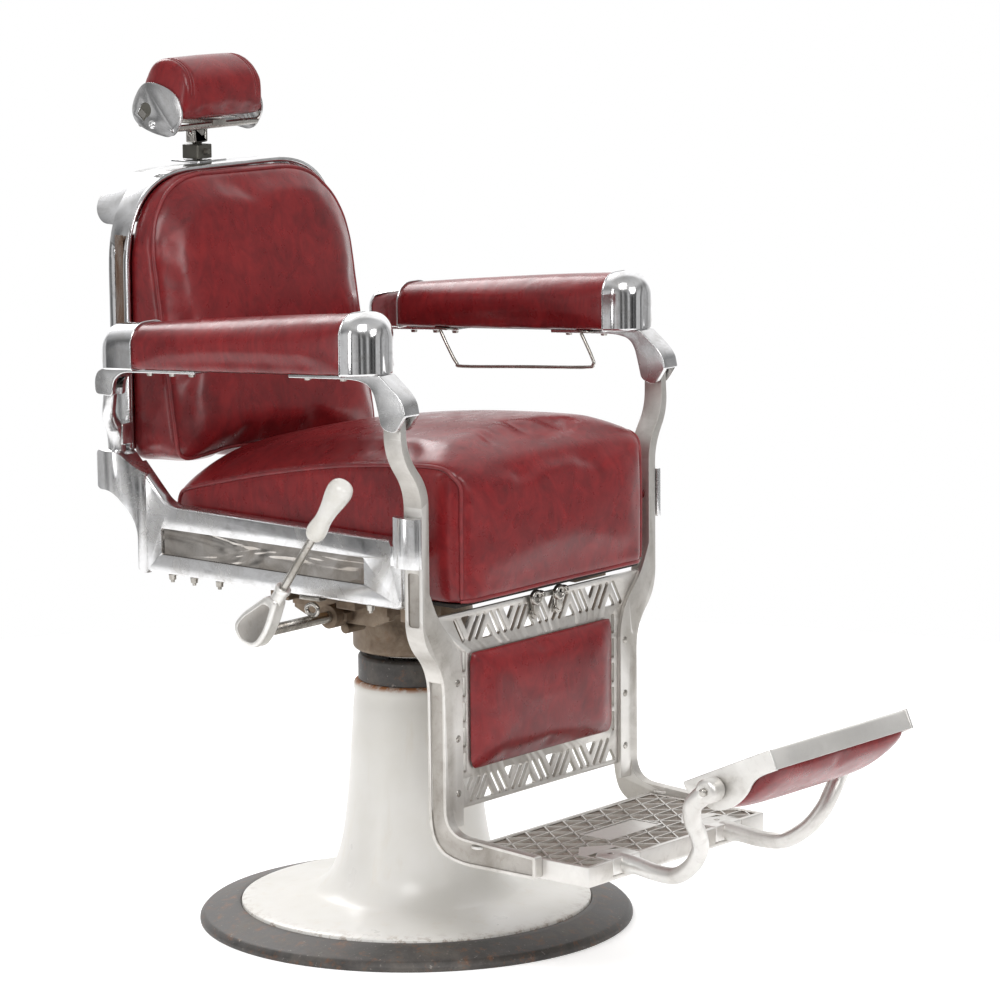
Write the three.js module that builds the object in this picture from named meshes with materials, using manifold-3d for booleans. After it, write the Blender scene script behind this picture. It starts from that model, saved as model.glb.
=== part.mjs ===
// Hydraulic barber chair with an enamelled pedestal, linked arms, back and leg frame, and a flip-over foot pad.
// Millimetres, +Z up. The origin is the middle of the floor plate, on the floor. The sitter faces -Y, and the
// sitter's left is +X. Pieces that come in pairs are drawn on the left, and mirrored for the right.

import * as THREE from "three";
import { mergeVertices } from "three/addons/utils/BufferGeometryUtils.js";
import Module from "manifold-3d";

const wasm = await Module();
wasm.setup();

// ---- Driving dimensions ----

const GAP = 0.3; // clearance between pieces that touch
const CURVE_STEPS = 5; // segments of each rounded corner
const PIN_SIDES = 16;

// Pedestal
const RING_RADIUS = 317.5;
const ENAMEL_RADIUS = 256.6;
const RING_HEIGHT = 27;
const FLOOR_PLATE_THICKNESS = 5;
const COLUMN_HEIGHT = 356;
const CYLINDER_RADIUS = 58;
const CYLINDER_BORE = 45;
const COLLAR_RADIUS = 81;
const COLLAR_TOP = 394;
const RAM_RADIUS = 40;
const RAM_TOP = 401;
const HUB_RADIUS = 88;
const HUB_BOTTOM = RAM_TOP + 0.5;
const HUB_PLATE = [480, 497]; // z of the flat top plate

// Pivots of the linkage, as [y, z]. All of them turn about X.
const REAR_PIVOT = [350, 662];
const FRONT_PIVOT = [-226, 617];
const ARM_REAR_PIVOT = [320, 788];
const ARM_FRONT_PIVOT = [-222, 791];
const HEAD_PIVOT = [413, 1128];
const FOOT_PIVOT = [-672, 318];
const LEVER_AXIS = [0, 474];
const PIVOT_PIN_RADIUS = 9;

// Side rails
const RAIL = { inner: 222, outer: 240, front: -189, rear: 308, bottom: 512, top: 612 };
const WINDOW = { y: [-118, 272], z: [542, 581], depth: 5.4 };
const EAR_INNER = 253.5; // the rear ears stand outside the back brackets
const FRONT_EAR = { inner: 263, outer: 281, y: [-246, -198], z: [582, 652] };
const BOARD_TOP = RAIL.bottom + 12;

// Back
const BACK = { half: 227, bottom: 676, top: 1088, front: 340, rear: 378, sheet: 5, corner: 140 };
const CUSHION_LEAN = 0.145; // how far the back cushion's front steps back for each mm of height
const STEM_Y = 413;

// Arms
const ARM = { x: [249, 327], rear: 248, front: -155, capFront: -204, capRear: 300 };
const ARM_BOTTOM = { height: 823, slope: 0.062 }; // height at ARM.rear, and rise towards the front
const ARM_TOP = { height: 888, slope: 0.107 };

// Leg frame
const POST = { front: -243, rear: -211, low: [201, 216], high: [246, 261], head: [284, 295.5] };
const FLANGE_THICKNESS = 6;
const PANEL = { front: -236.7, rear: -231, half: 199, bottom: 228, top: 507 };
const FOOTPLATE = { half: 200.5, y: [-484, -277.5], z: [158, 186.5], wall: 6 };
const FOOT_ARM_BAR = { front: -402, z: [160, 194] };
const HOOK_ROOT = { x: [87, 147], y: [-484, -440], bottom: 164.3 };
const FOOT_PAD_HALF = 154.5;
const END_PLATE = [155, 160.5];
const FOOT_PAD_TILT = Math.atan2(64, 143); // the foot pad rises towards the front

// ---- Shape helpers ----

const X = new THREE.Vector3(1, 0, 0);
const Y = new THREE.Vector3(0, 1, 0);
const Z = new THREE.Vector3(0, 0, 1);

// A closed outline through corners [u, v, rounding], each one rounded by its third value.
function outline(corners) {
  const shape = new THREE.Shape();
  const count = corners.length;
  corners.forEach(([u, v, rounding = 0], index) => {
    const corner = new THREE.Vector2(u, v);
    const towards = ([otherU, otherV]) => {
      const side = new THREE.Vector2(otherU, otherV).sub(corner);
      return corner.clone().add(side.setLength(Math.min(rounding, side.length() * 0.49)));
    };
    const start = towards(corners[(index + count - 1) % count]);
    const end = towards(corners[(index + 1) % count]);
    if (index === 0) shape.moveTo(start.x, start.y);
    else shape.lineTo(start.x, start.y);
    if (rounding) shape.quadraticCurveTo(u, v, end.x, end.y);
  });
  return shape;
}

// The outline of a bar with round ends of two radii.
function linkOutline([u0, v0], radius0, [u1, v1], radius1) {
  const along = Math.atan2(v1 - v0, u1 - u0);
  const tangent = Math.acos((radius0 - radius1) / Math.hypot(u1 - u0, v1 - v0));
  return new THREE.Shape()
    .absarc(u0, v0, radius0, along + tangent, along - tangent + 2 * Math.PI, false)
    .absarc(u1, v1, radius1, along - tangent, along + tangent, false);
}

function circle(radius, sides = PIN_SIDES) {
  const turn = (2 * Math.PI) / sides;
  const points = Array.from({ length: sides }, (_, i) => [radius * Math.cos(i * turn), radius * Math.sin(i * turn)]);
  return outline(points);
}

function extrude(shape, depth) {
  return new THREE.ExtrudeGeometry(shape, { depth, bevelEnabled: false, curveSegments: CURVE_STEPS });
}

// A shape drawn in (y, z), spread along X.
function acrossX(shape, [from, to]) {
  return extrude(shape, to - from).applyMatrix4(new THREE.Matrix4().makeBasis(Y, Z, X)).translate(from, 0, 0);
}

// A shape drawn in (x, z), spread along Y.
function acrossY(shape, [from, to]) {
  const back = Y.clone().negate();
  return extrude(shape, to - from).applyMatrix4(new THREE.Matrix4().makeBasis(X, Z, back)).translate(0, to, 0);
}

// A shape drawn in (x, y), spread along Z.
function acrossZ(shape, [from, to]) {
  return extrude(shape, to - from).translate(0, 0, from);
}

function box([x0, x1], [y0, y1], [z0, z1]) {
  const block = new THREE.BoxGeometry(x1 - x0, y1 - y0, z1 - z0);
  return block.translate((x0 + x1) / 2, (y0 + y1) / 2, (z0 + z1) / 2);
}

// A round bar between two points.
function rod(start, end, radius, sides = PIN_SIDES) {
  const from = new THREE.Vector3(...start);
  const axis = new THREE.Vector3(...end).sub(from);
  const bar = new THREE.CylinderGeometry(radius, radius, axis.length(), sides).translate(0, axis.length() / 2, 0);
  bar.applyQuaternion(new THREE.Quaternion().setFromUnitVectors(Y, axis.normalize()));
  return bar.translate(from.x, from.y, from.z);
}

// A pin or hole along X through a pivot [y, z].
function pin([y, z], radius, [from, to]) {
  return rod([from, y, z], [to, y, z], radius);
}

// A turned piece about the vertical axis, from profile points [radius, height].
function turned(profile, sides = 40) {
  const lathe = new THREE.LatheGeometry(profile.map(([r, h]) => new THREE.Vector2(r, h)), sides);
  return lathe.rotateX(Math.PI / 2);
}

// A round wire or tube through a list of points.
function tube(points, radius, steps, sides = 10) {
  const path = new THREE.CatmullRomCurve3(points.map((point) => new THREE.Vector3(...point)), false, "centripetal");
  return new THREE.ExtrudeGeometry(circle(radius, sides), { steps, extrudePath: path });
}

// Moves each vertex by a rule of its place.
function reshape(geometry, rule) {
  const place = geometry.getAttribute("position");
  const point = new THREE.Vector3();
  for (let i = 0; i < place.count; i += 1) {
    rule(point.fromBufferAttribute(place, i));
    place.setXYZ(i, point.x, point.y, point.z);
  }
  return geometry;
}

// ---- Joining and cutting ----

function solidOf(geometry) {
  const bare = geometry.clone();
  bare.deleteAttribute("normal");
  bare.deleteAttribute("uv");
  const merged = mergeVertices(bare, 1e-3);
  const vertProperties = merged.getAttribute("position").array;
  const triVerts = new Uint32Array(merged.index.array);
  return new wasm.Manifold(new wasm.Mesh({ numProp: 3, vertProperties, triVerts }));
}

function geometryOf(solid) {
  const { vertProperties, triVerts } = solid.getMesh();
  return new THREE.BufferGeometry()
    .setAttribute("position", new THREE.BufferAttribute(vertProperties, 3))
    .setIndex(new THREE.BufferAttribute(triVerts, 1));
}

function join(...pieces) {
  return geometryOf(pieces.map(solidOf).reduce((whole, piece) => whole.add(piece)));
}

function cut(piece, ...tools) {
  return geometryOf(tools.map(solidOf).reduce((whole, tool) => whole.subtract(tool), solidOf(piece)));
}

function common(first, second) {
  return geometryOf(solidOf(first).intersect(solidOf(second)));
}

// ---- Finishes: colour, roughness, metalness ----

const FINISHES = {
  enamel: ["#e3dfda", 0.25, 0],
  castIron: ["#3f3b39", 0.7, 0.6],
  hubIron: ["#6d5f52", 0.7, 0.6],
  steel: ["#a7a39c", 0.35, 1],
  chrome: ["#dfe1e4", 0.08, 1],
  polishedAluminium: ["#c9cacb", 0.2, 1],
  castAluminium: ["#b3afa8", 0.45, 1],
  blackened: ["#2c2d2a", 0.5, 0.5],
  vinyl: ["#7c1f26", 0.35, 0],
  board: ["#8a6b48", 0.8, 0],
  knob: ["#efede6", 0.3, 0],
};

const chair = new THREE.Group();
const sides = { left: new THREE.Group(), right: new THREE.Group() };
sides.right.scale.x = -1;
chair.add(sides.left, sides.right);

function add(name, finish, geometry, group = chair) {
  const flat = geometry.index ? geometry.toNonIndexed() : geometry.clone();
  flat.computeVertexNormals();
  const [color, roughness, metalness] = FINISHES[finish];
  const mesh = new THREE.Mesh(flat, new THREE.MeshStandardMaterial({ color, roughness, metalness }));
  mesh.name = name;
  group.add(mesh);
}

function addPair(name, finish, geometry) {
  for (const [side, group] of Object.entries(sides)) add(`${name}_${side}`, finish, geometry, group);
}

// ---- Pedestal ----

function baseCasting() {
  const wall = 60.5;
  const underside = [[wall, 120], [86, 70], [150, 30], [236, 22], [240, 10 + GAP]];
  const flare = [[ENAMEL_RADIUS, 10 + GAP], [ENAMEL_RADIUS, 26], [250, 31], [200, 37], [165, 41], [149, 46]];
  const neck = [[135, 57], [123, 73], [115, 92], [109, 112], [104, 140], [99, 180], [94.5, 235], [88.5, 325]];
  const lip = [[86.5, 347], [84, 354], [80, COLUMN_HEIGHT], [wall, COLUMN_HEIGHT]];
  return turned([...flare, ...neck, ...lip, ...underside, flare[0]], 48);
}

function pedestal() {
  const plateTop = FLOOR_PLATE_THICKNESS;
  const ringInner = 250;
  add("floor_plate", "castIron", turned([[0, 0], [ringInner - 2, 0], [ringInner - 2, plateTop], [0, plateTop]], 48));
  const bevel = [[RING_RADIUS, 7], [RING_RADIUS - 6.5, 14], [ENAMEL_RADIUS + 9, 26], [ENAMEL_RADIUS + 0.4, RING_HEIGHT]];
  const ledge = [[ENAMEL_RADIUS + 0.4, 10], [ringInner, 10], [ringInner, 0]];
  add("base_ring", "castIron", turned([[ringInner, 0], [RING_RADIUS, 0], ...bevel, ...ledge], 64));
  add("base_casting", "enamel", baseCasting());
  const foot = plateTop + GAP;
  const bore = [[CYLINDER_BORE, 340], [CYLINDER_BORE, 24], [0, 24]];
  add("hydraulic_cylinder", "steel", turned([[0, foot], [CYLINDER_RADIUS, foot], [CYLINDER_RADIUS, 340], ...bore], 32));
  const seat = COLUMN_HEIGHT + GAP;
  const rim = [[COLLAR_RADIUS, COLLAR_TOP - 3], [COLLAR_RADIUS - 2, COLLAR_TOP], [70, COLLAR_TOP], [70, 386]];
  const gland = RAM_RADIUS + 1;
  add("gland_collar", "blackened", turned([[gland, seat], [COLLAR_RADIUS, seat], ...rim, [gland, 386], [gland, seat]]));
}

function ram() {
  const piston = [[0, 60], [CYLINDER_BORE - 0.5, 60], [CYLINDER_BORE - 0.5, 84], [RAM_RADIUS, 87]];
  const head = [[RAM_RADIUS, RAM_TOP - 5], [66, RAM_TOP - 5], [66, RAM_TOP], [0, RAM_TOP]];
  add("ram", "steel", turned([...piston, ...head], 32));
}

// ---- Seat frame ----

const SHAFT_RADIUS = 8;
const CRANK_OFFSET = 8;
const CRANK_X = -62;

function hubCasting() {
  const [plateBottom, plateTop] = HUB_PLATE;
  const chamfer = HUB_BOTTOM + 4;
  const boss = [[0, HUB_BOTTOM], [84, HUB_BOTTOM], [HUB_RADIUS, chamfer], [HUB_RADIUS, 446], [84, 484], [0, 484]];
  const body = join(turned(boss), box([-160, 160], [-90, 90], [plateBottom, plateTop]));
  const bearingSeat = turned([[0, HUB_BOTTOM - 5], [62.3, HUB_BOTTOM - 5], [62.3, HUB_BOTTOM + 7], [0, HUB_BOTTOM + 7]]);
  const shaftHole = pin(LEVER_AXIS, 14, [-200, -42]);
  const plungerHole = rod([CRANK_X, -CRANK_OFFSET, 400], [CRANK_X, -CRANK_OFFSET, 474], 9);
  return cut(body, bearingSeat, shaftHole, plungerHole);
}

// The ears' plan: a rounded bulge outside the moving link, tied to the rail in front of it.
function rearEarPlan() {
  return outline([
    [RAIL.inner + 8, 300], [RAIL.outer + 4, 300, 14], [262, 320, 12], [270, 348, 16], [263, 378, 5],
    [EAR_INNER, 378], [EAR_INNER, 327], [RAIL.inner + 8, 327],
  ]);
}

function frontEarPlan() {
  const { inner, outer, y: [front, rear] } = FRONT_EAR;
  return outline([[inner, rear + 2, 2], [inner, front, 2], [outer - 8, front, 8], [outer, -222, 16], [outer - 8, rear, 8]]);
}

// The side view of a rail: a level beam that turns up at the rear towards the back's pivot.
function railOutline(rearTop) {
  return outline([
    [RAIL.front, RAIL.bottom, 14], [RAIL.rear, RAIL.bottom, 4], [RAIL.rear, 592, 30], [338, 628, 16], [378, 632, 8],
    ...rearTop, [334, 692, 8], [258, RAIL.top + 4, 16], [RAIL.front, RAIL.top, 8],
  ]);
}

function sideRail() {
  const beam = acrossX(railOutline([[378, 670, 12], [364, 688, 8]]), [RAIL.inner, RAIL.outer]);
  const rearBulge = acrossX(railOutline([[378, 692, 8]]), [RAIL.inner, 290]);
  const rearEar = common(acrossZ(rearEarPlan(), [500, 700]), rearBulge);
  const frontEar = acrossZ(frontEarPlan(), FRONT_EAR.z);
  const tie = acrossZ(outline([[228, -207], [275, -207], [275, -198], [240, -164], [228, -164]]), [584, RAIL.top - 1]);
  const seatLedge = box([200, RAIL.inner + 2], [-185, 300], [RAIL.bottom, RAIL.bottom + 6]);
  const rearPin = pin(REAR_PIVOT, PIVOT_PIN_RADIUS, [RAIL.outer - 1, EAR_INNER + 1]);
  const frontPin = pin(FRONT_PIVOT, PIVOT_PIN_RADIUS, [POST.high[0] + 1, FRONT_EAR.inner + 1]);
  const casting = join(beam, rearEar, frontEar, tie, seatLedge, rearPin, frontPin);
  const window = box([RAIL.outer - WINDOW.depth, RAIL.outer + 1], WINDOW.y, WINDOW.z);
  const hollow = box([RAIL.inner - 1, RAIL.inner + 7], [-180, 250], [BOARD_TOP, 606]);
  const backRelief = box([RAIL.inner - 1, RAIL.inner + 7], [316, 400], [640, 700]);
  return cut(casting, window, hollow, backRelief);
}

function seatCushionOutline() {
  return outline([
    [-280, BOARD_TOP + 6, 8], [-236, BOARD_TOP + GAP, 8], [275, BOARD_TOP + GAP, 8], [277, 626, 16], [240, 650, 40], [60, 702, 120],
    [-170, 742, 90], [-264, 724, 50], [-284, 676, 30],
  ]);
}

function pumpBracket() {
  const ring = pin(LEVER_AXIS, 17, [-185, -161]);
  const pad = box([-170, -94], [-22, 22], [468, HUB_PLATE[0] - GAP]);
  return cut(join(ring, pad), pin(LEVER_AXIS, SHAFT_RADIUS + GAP, [-200, -80]));
}

function eyeBracket() {
  const eye = [-7, 493];
  const foot = outline([[-26, 506, 2], [12, 506, 2], [12, RAIL.bottom - GAP], [-26, RAIL.bottom - GAP]]);
  const ring = join(acrossX(foot, [-232, -216]), pin(eye, 9.5, [-227, -221]), box([-227, -221], [-14, 0], [495, 508]));
  return cut(ring, pin(eye, 4.5, [-240, -210]));
}

function seatFrame() {
  const bearingTop = HUB_BOTTOM + 6.5;
  const race = [[22, RAM_TOP + GAP], [60, RAM_TOP + GAP], [60, bearingTop], [22, bearingTop], [22, RAM_TOP + GAP]];
  add("swivel_bearing", "steel", turned(race, 32));
  add("hub_casting", "hubIron", hubCasting());
  const memberZ = [HUB_PLATE[1] + GAP, RAIL.bottom - GAP];
  add("cross_member_front", "hubIron", box([-218, 218], [-80, -45], memberZ));
  add("cross_member_rear", "hubIron", box([-218, 218], [45, 80], memberZ));
  addPair("side_rail", "polishedAluminium", sideRail());
  const face = RAIL.outer - WINDOW.depth;
  const [y0, y1] = WINDOW.y;
  const [z0, z1] = WINDOW.z;
  const insert = box([face + GAP, face + 1.6], [y0 + GAP, y1 - GAP], [z0 + GAP, z1 - GAP]);
  addPair("rail_insert", "chrome", insert);
  add("seat_board", "board", box([-218, 218], [-184, 268], [RAIL.bottom + 6 + GAP, BOARD_TOP]));
  add("seat_cushion", "vinyl", acrossX(seatCushionOutline(), [-212, 212]));
  add("pump_bracket", "hubIron", pumpBracket());
  add("eye_bracket", "steel", eyeBracket());
}

// ---- Pump lever ----

const LEVER_X = [-346, -318];
const LEVER_LEAN = Math.atan2(113, 156); // the rod leans forward from the vertical

// A point on the lever's rod, by its distance from the lever's axis.
function alongLever(distance) {
  const middle = (LEVER_X[0] + LEVER_X[1]) / 2;
  const [y, z] = LEVER_AXIS;
  return [middle, y - distance * Math.sin(LEVER_LEAN), z + distance * Math.cos(LEVER_LEAN)];
}

function leverShaft() {
  const crank = [LEVER_AXIS[0] - CRANK_OFFSET, LEVER_AXIS[1]];
  return join(
    pin(LEVER_AXIS, SHAFT_RADIUS, [LEVER_X[1] + GAP, -76]),
    pin(LEVER_AXIS, 13, [-80, -74]),
    pin(crank, 5, [-76, -46]),
  );
}

function leverArm() {
  const [, y, z] = alongLever(68);
  const blade = acrossX(linkOutline([4, 472], 27, [y, z], 12), LEVER_X);
  return cut(join(blade, rod(alongLever(60), alongLever(88), 10)), rod(alongLever(74), alongLever(90), 6.5));
}

function leverKnob() {
  const length = 104;
  const profile = [[0, 0], [9, 1], [14, 8], [13.5, 22], [11.5, 38], [13.5, 60], [18, 80], [16, 95], [9, 102], [0, length]];
  const knob = turned(profile, 20);
  const grip = cut(knob, rod([0, 0, -1], [0, 0, 20], 6.5));
  return grip.rotateX(LEVER_LEAN).translate(...alongLever(179));
}

function pumpLever() {
  add("lever_shaft", "steel", leverShaft());
  add("lever_arm", "castAluminium", leverArm());
  add("lever_rod", "steel", rod(alongLever(75), alongLever(198), 6));
  add("lever_knob", "knob", leverKnob());
  const top = LEVER_AXIS[1] - 5 - 0.6;
  add("pump_plunger", "steel", rod([CRANK_X, -CRANK_OFFSET, top - 40], [CRANK_X, -CRANK_OFFSET, top], 8));
}

// ---- Back ----

function backOutline(inset) {
  const half = BACK.half - inset;
  const top = BACK.top - inset;
  const corner = BACK.corner - inset;
  return outline([[-half, BACK.bottom], [half, BACK.bottom], [half, top, corner], [-half, top, corner]]);
}

function backCushion() {
  const pad = acrossY(outline([[-215, 672, 24], [215, 672, 24], [208, 1080, 130], [-208, 1080, 130]]), [262, 349]);
  return reshape(pad, (point) => {
    if (point.y < 300) point.y += (point.z - 672) * CUSHION_LEAN;
  });
}

// The crown's side view: a roll behind the top of the back, that houses the headrest's stem.
function crownOutline(inset) {
  const front = BACK.rear + GAP - (inset ? 10 : 0);
  const top = 1084 - inset;
  const rear = 427 - inset;
  return outline([
    [front, 1000 + inset], [408 - inset, 1002 + inset, 18], [rear, 1032, 24], [rear, 1074, 22], [rear - 24, top, 16], [front, top],
  ]);
}

function backCrown() {
  const ends = outline([[-221, 370], [221, 370], [221, 428, 36], [-221, 428, 36]]);
  const bulge = common(acrossX(crownOutline(0), [-221, 221]), acrossZ(ends, [990, 1100]));
  const roll = common(bulge, acrossY(backOutline(3), [370, 440]));
  const cavity = acrossX(crownOutline(4), [-180, 180]);
  const stemHole = rod([0, STEM_Y, 1032], [0, STEM_Y, 1100], 7.5);
  return cut(roll, cavity, stemHole);
}

// One casting: the eye on the rear pivot, the strap up the back's side, and the lug of the arm's rear hinge.
function backBracket() {
  const [pivotY, pivotZ] = REAR_PIVOT;
  const [lugY, lugZ] = ARM_REAR_PIVOT;
  const inner = BACK.half + GAP;
  const eye = [EAR_INNER - 12.5, EAR_INNER - 1.5];
  const casting = join(
    pin(REAR_PIVOT, 16, eye),
    box(eye, [pivotY - 15, pivotY + 14], [pivotZ, 729]),
    box([inner, eye[1]], [pivotY - 15, pivotY + 14], [697, 729]),
    box([inner, inner + 6], [338, 370], [720, 800]),
    box([inner, 293], [lugY - 14, 345], [742, 763]),
    acrossX(linkOutline(ARM_REAR_PIVOT, 11, [lugY, lugZ - 34], 11), [283, 293]),
  );
  return cut(casting, pin(REAR_PIVOT, PIVOT_PIN_RADIUS + 0.4, [230, 260]), pin(ARM_REAR_PIVOT, 4.4, [270, 300]));
}

function headrestStem() {
  const [y, z] = HEAD_PIVOT;
  const post = rod([0, y, 1036], [0, y, z - 12], 7);
  const fork = cut(box([-15, 15], [y - 9, y + 9], [z - 14, z + 9]), box([-8.3, 8.3], [y - 10, y + 10], [z - 10, z + 20]));
  return join(post, fork, pin(HEAD_PIVOT, 3.5, [-12, 12]));
}

function back() {
  const depth = [BACK.front, BACK.rear];
  const hoop = cut(acrossY(backOutline(0), depth), acrossY(backOutline(BACK.sheet), [BACK.front - 1, BACK.rear + 1]));
  const opening = box([BACK.sheet - BACK.half, BACK.half - BACK.sheet], [330, 390], [BACK.bottom - 1, BACK.bottom + 10]);
  add("back_frame", "chrome", cut(hoop, opening));
  add("back_crown", "chrome", backCrown());
  const panelHalf = BACK.half - BACK.sheet - GAP;
  add("back_panel", "vinyl", box([-panelHalf, panelHalf], [366, 372], [682, 940]));
  add("back_cushion", "vinyl", backCushion());
  addPair("back_bracket", "castAluminium", backBracket());
  const plate = box([-31, 31], [BACK.rear + 3, 440], [1087, 1090]);
  add("headrest_plate", "chrome", cut(plate, rod([0, STEM_Y, 1080], [0, STEM_Y, 1095], 7.5)));
  const clamp = box([-16, 16], [STEM_Y - 16, STEM_Y + 16], [1090 + GAP, 1112]);
  add("headrest_clamp", "blackened", cut(clamp, rod([0, STEM_Y, 1085], [0, STEM_Y, 1120], 7.3)));
  add("headrest_stem", "steel", headrestStem());
}

// ---- Headrest ----

const HEAD_HALF = 88;

function headrestEndPlate() {
  const egg = outline([
    [357, 1168, 22], [366, 1142, 12], [381, 1127, 12], [424, 1134, 24], [456, 1148, 16], [462, 1172, 22],
    [440, 1206, 16], [414, 1209, 16], [372, 1196, 24],
  ]);
  return acrossX(egg, [HEAD_HALF - 3, HEAD_HALF]);
}

function headrestYoke() {
  const [y, z] = HEAD_PIVOT;
  const reach = HEAD_HALF - 3 - GAP;
  const lug = acrossX(linkOutline(HEAD_PIVOT, 8, [y, z + 18], 8), [-8, 8]);
  const saddle = box([-14, 14], [366, 452], [z + 14, z + 22]);
  const rails = [[372, z + 18], [446, z + 18]].map((place) => pin(place, 5, [-reach, reach]));
  return cut(join(lug, saddle, ...rails), pin(HEAD_PIVOT, 3.9, [-20, 20]));
}

function headrest() {
  add("headrest_yoke", "steel", headrestYoke());
  addPair("headrest_end_plate", "castAluminium", headrestEndPlate());
  const section = outline([
    [356, 1154, 8], [452, 1158, 8], [450, 1200, 26], [424, 1243, 26], [382, 1245, 24], [348, 1214, 18],
  ]);
  const reach = HEAD_HALF - 3 - GAP;
  add("headrest_pad", "vinyl", acrossX(section, [-reach, reach]));
}

// ---- Arms ----

const armBottom = (y) => ARM_BOTTOM.height + (ARM.rear - y) * ARM_BOTTOM.slope;
const armTop = (y) => ARM_TOP.height + (ARM.rear - y) * ARM_TOP.slope;

// A length of the arm's rounded section, which grows in height towards the front.
function armLength(y, swell) {
  const [inner, outer] = ARM.x;
  const full = 100;
  const section = outline([
    [inner - swell, 0, 6], [outer + swell, 0, 6], [outer + swell, full, 30], [inner - swell, full, 30],
  ]);
  return reshape(acrossY(section, y), (point) => {
    const bottom = armBottom(point.y) - (swell ? 0.2 : 0);
    point.z = bottom + ((armTop(point.y) + swell - bottom) * point.z) / full;
  });
}

function armCap([from, to], round) {
  const [inner, outer] = ARM.x;
  const swell = 1;
  const left = inner - swell;
  const right = outer + swell;
  const tip = from < 0 ? from : to;
  const mouth = from < 0 ? to : from;
  const plan = outline([[left, mouth], [right, mouth], [right, tip, round], [left, tip, round]]);
  const order = from < 0 ? plan : outline([[left, mouth], [left, tip, round], [right, tip, round], [right, mouth]]);
  return common(armLength([from, to], swell), acrossZ(order, [800, 960]));
}

function armFrontBracket() {
  const [y, z] = ARM_FRONT_PIVOT;
  const under = (at) => armBottom(at) - 0.6;
  const horn = outline([
    [-40, under(-40)], [-40, under(-40) - 6], [-166, under(-166) - 6, 20], [-196, 834, 18], [y + 17, z + 4, 10],
    [y + 13, z - 13, 10], [y - 12, z - 18, 8], [y - 30, z + 8, 3], [y - 24, z + 30, 12], [-208, under(-208)],
  ]);
  const cheeks = [272, 304];
  const slot = outline([
    [y + 30, z - 30], [y - 34, z - 30], [y - 34, z + 4], [y - 22, z + 6], [y - 20, z + 18, 4], [y + 12, z + 18, 6], [y + 30, z + 6],
  ]);
  return join(cut(acrossX(horn, cheeks), acrossX(slot, [279, 299])), pin(ARM_FRONT_PIVOT, 5, cheeks));
}

function armRearBracket() {
  const [y, z] = ARM_REAR_PIVOT;
  const under = (at) => armBottom(at) - 0.6;
  const hood = outline([
    [140, under(140)], [140, under(140) - 6], [284, under(284) - 6, 14], [y - 18, z + 12, 8], [y - 17, z - 10, 5],
    [y + 17, z - 10, 5], [y + 19, z + 14, 12], [y + 8, under(y + 8), 14],
  ]);
  const cheeks = [274, 302];
  const slot = box([281, 295], [y - 30, y + 13], [z - 20, z + 18]);
  return join(cut(acrossX(hood, cheeks), slot), pin(ARM_REAR_PIVOT, 4, cheeks));
}

function arms() {
  addPair("arm_pad", "vinyl", armLength([ARM.front, ARM.rear], 0));
  addPair("arm_front_cap", "chrome", armCap([ARM.capFront, ARM.front - GAP], 34));
  addPair("arm_rear_cap", "chrome", armCap([ARM.rear + GAP, ARM.capRear], 34));
  addPair("arm_front_bracket", "polishedAluminium", armFrontBracket());
  addPair("arm_rear_bracket", "polishedAluminium", armRearBracket());
  const x = 262;
  const hanger = [[x, 166, 824], [x, 150, 798], [x, 134, 776], [x, 120, 772], [x, -112, 790], [x, -128, 795], [x, -126, 806]];
  add("towel_bar", "steel", tube([...hanger, [x, -106, 840]], 2.6, 40, 8));
}

// ---- Leg frame ----

// The post's front view, which joggles in from the arm's knuckle to the rail, and again from the rail to the leg.
function postFrontView() {
  const [lowIn, lowOut] = POST.low;
  const [highIn, highOut] = POST.high;
  const [headIn, headOut] = POST.head;
  return outline([
    [lowIn, 140], [lowOut, 140], [lowOut, 428, 30], [highOut, 474, 30], [highOut, 688, 24], [headOut, 738, 24],
    [headOut, 820], [headIn, 820], [headIn, 742, 24], [highIn, 692, 24], [highIn, 486, 30], [lowIn, 432, 30],
  ]);
}

// The post's side view, from the hinge tongue down to the bar that carries the footplate.
function postSideView() {
  const [y, z] = ARM_FRONT_PIVOT;
  const [barBottom, barTop] = FOOT_ARM_BAR.z;
  const { front, rear } = POST;
  return outline([
    [front, barTop + 6, 34], [front, 700, 20], [y - 14, z - 24, 8], [y - 13, z + 12, 13], [y + 13, z + 12, 13],
    [y + 16, z - 24, 8], [rear, 700, 20], [rear, 206, 30], [-226, 172, 20], [-268, barBottom, 20],
    [FOOT_ARM_BAR.front, barBottom, 4], [FOOT_ARM_BAR.front, barTop - 3, 4],
  ].reverse());
}

// The flat strip on the post's front, which widens below the rail to carry the grille.
function postFlange() {
  return outline([
    [178, 206], [208, 206], [208, 430, 20], [253, 484, 20], [253, 545], [246, 545], [228, 505, 20], [190, 464, 16], [178, 430, 14],
  ]);
}

function frontPost() {
  const [, lowOut] = POST.low;
  const [, highOut] = POST.high;
  const bar = common(acrossY(postFrontView(), [-420, -190]), acrossX(postSideView(), [190, 300]));
  const flange = acrossY(postFlange(), [POST.front, POST.front + FLANGE_THICKNESS]);
  const recessY = [POST.front + 6, POST.rear - 6];
  return cut(
    join(bar, flange),
    box([highOut - 2.5, highOut + 2], recessY, [500, 572]),
    box([lowOut - 2.5, lowOut + 2], recessY, [236, 408]),
    pin(FRONT_PIVOT, PIVOT_PIN_RADIUS + 0.4, [230, 270]),
    pin(ARM_FRONT_PIVOT, 8, [270, 310]),
  );
}

// A slot that leans by the given run, for the lattice of the grille.
function latticeSlot(x, [z0, z1], lean) {
  const width = 7;
  return acrossY(outline([[x, z0], [x + width, z0], [x + width + lean, z1], [x + lean, z1]]), [-250, -220]);
}

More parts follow.
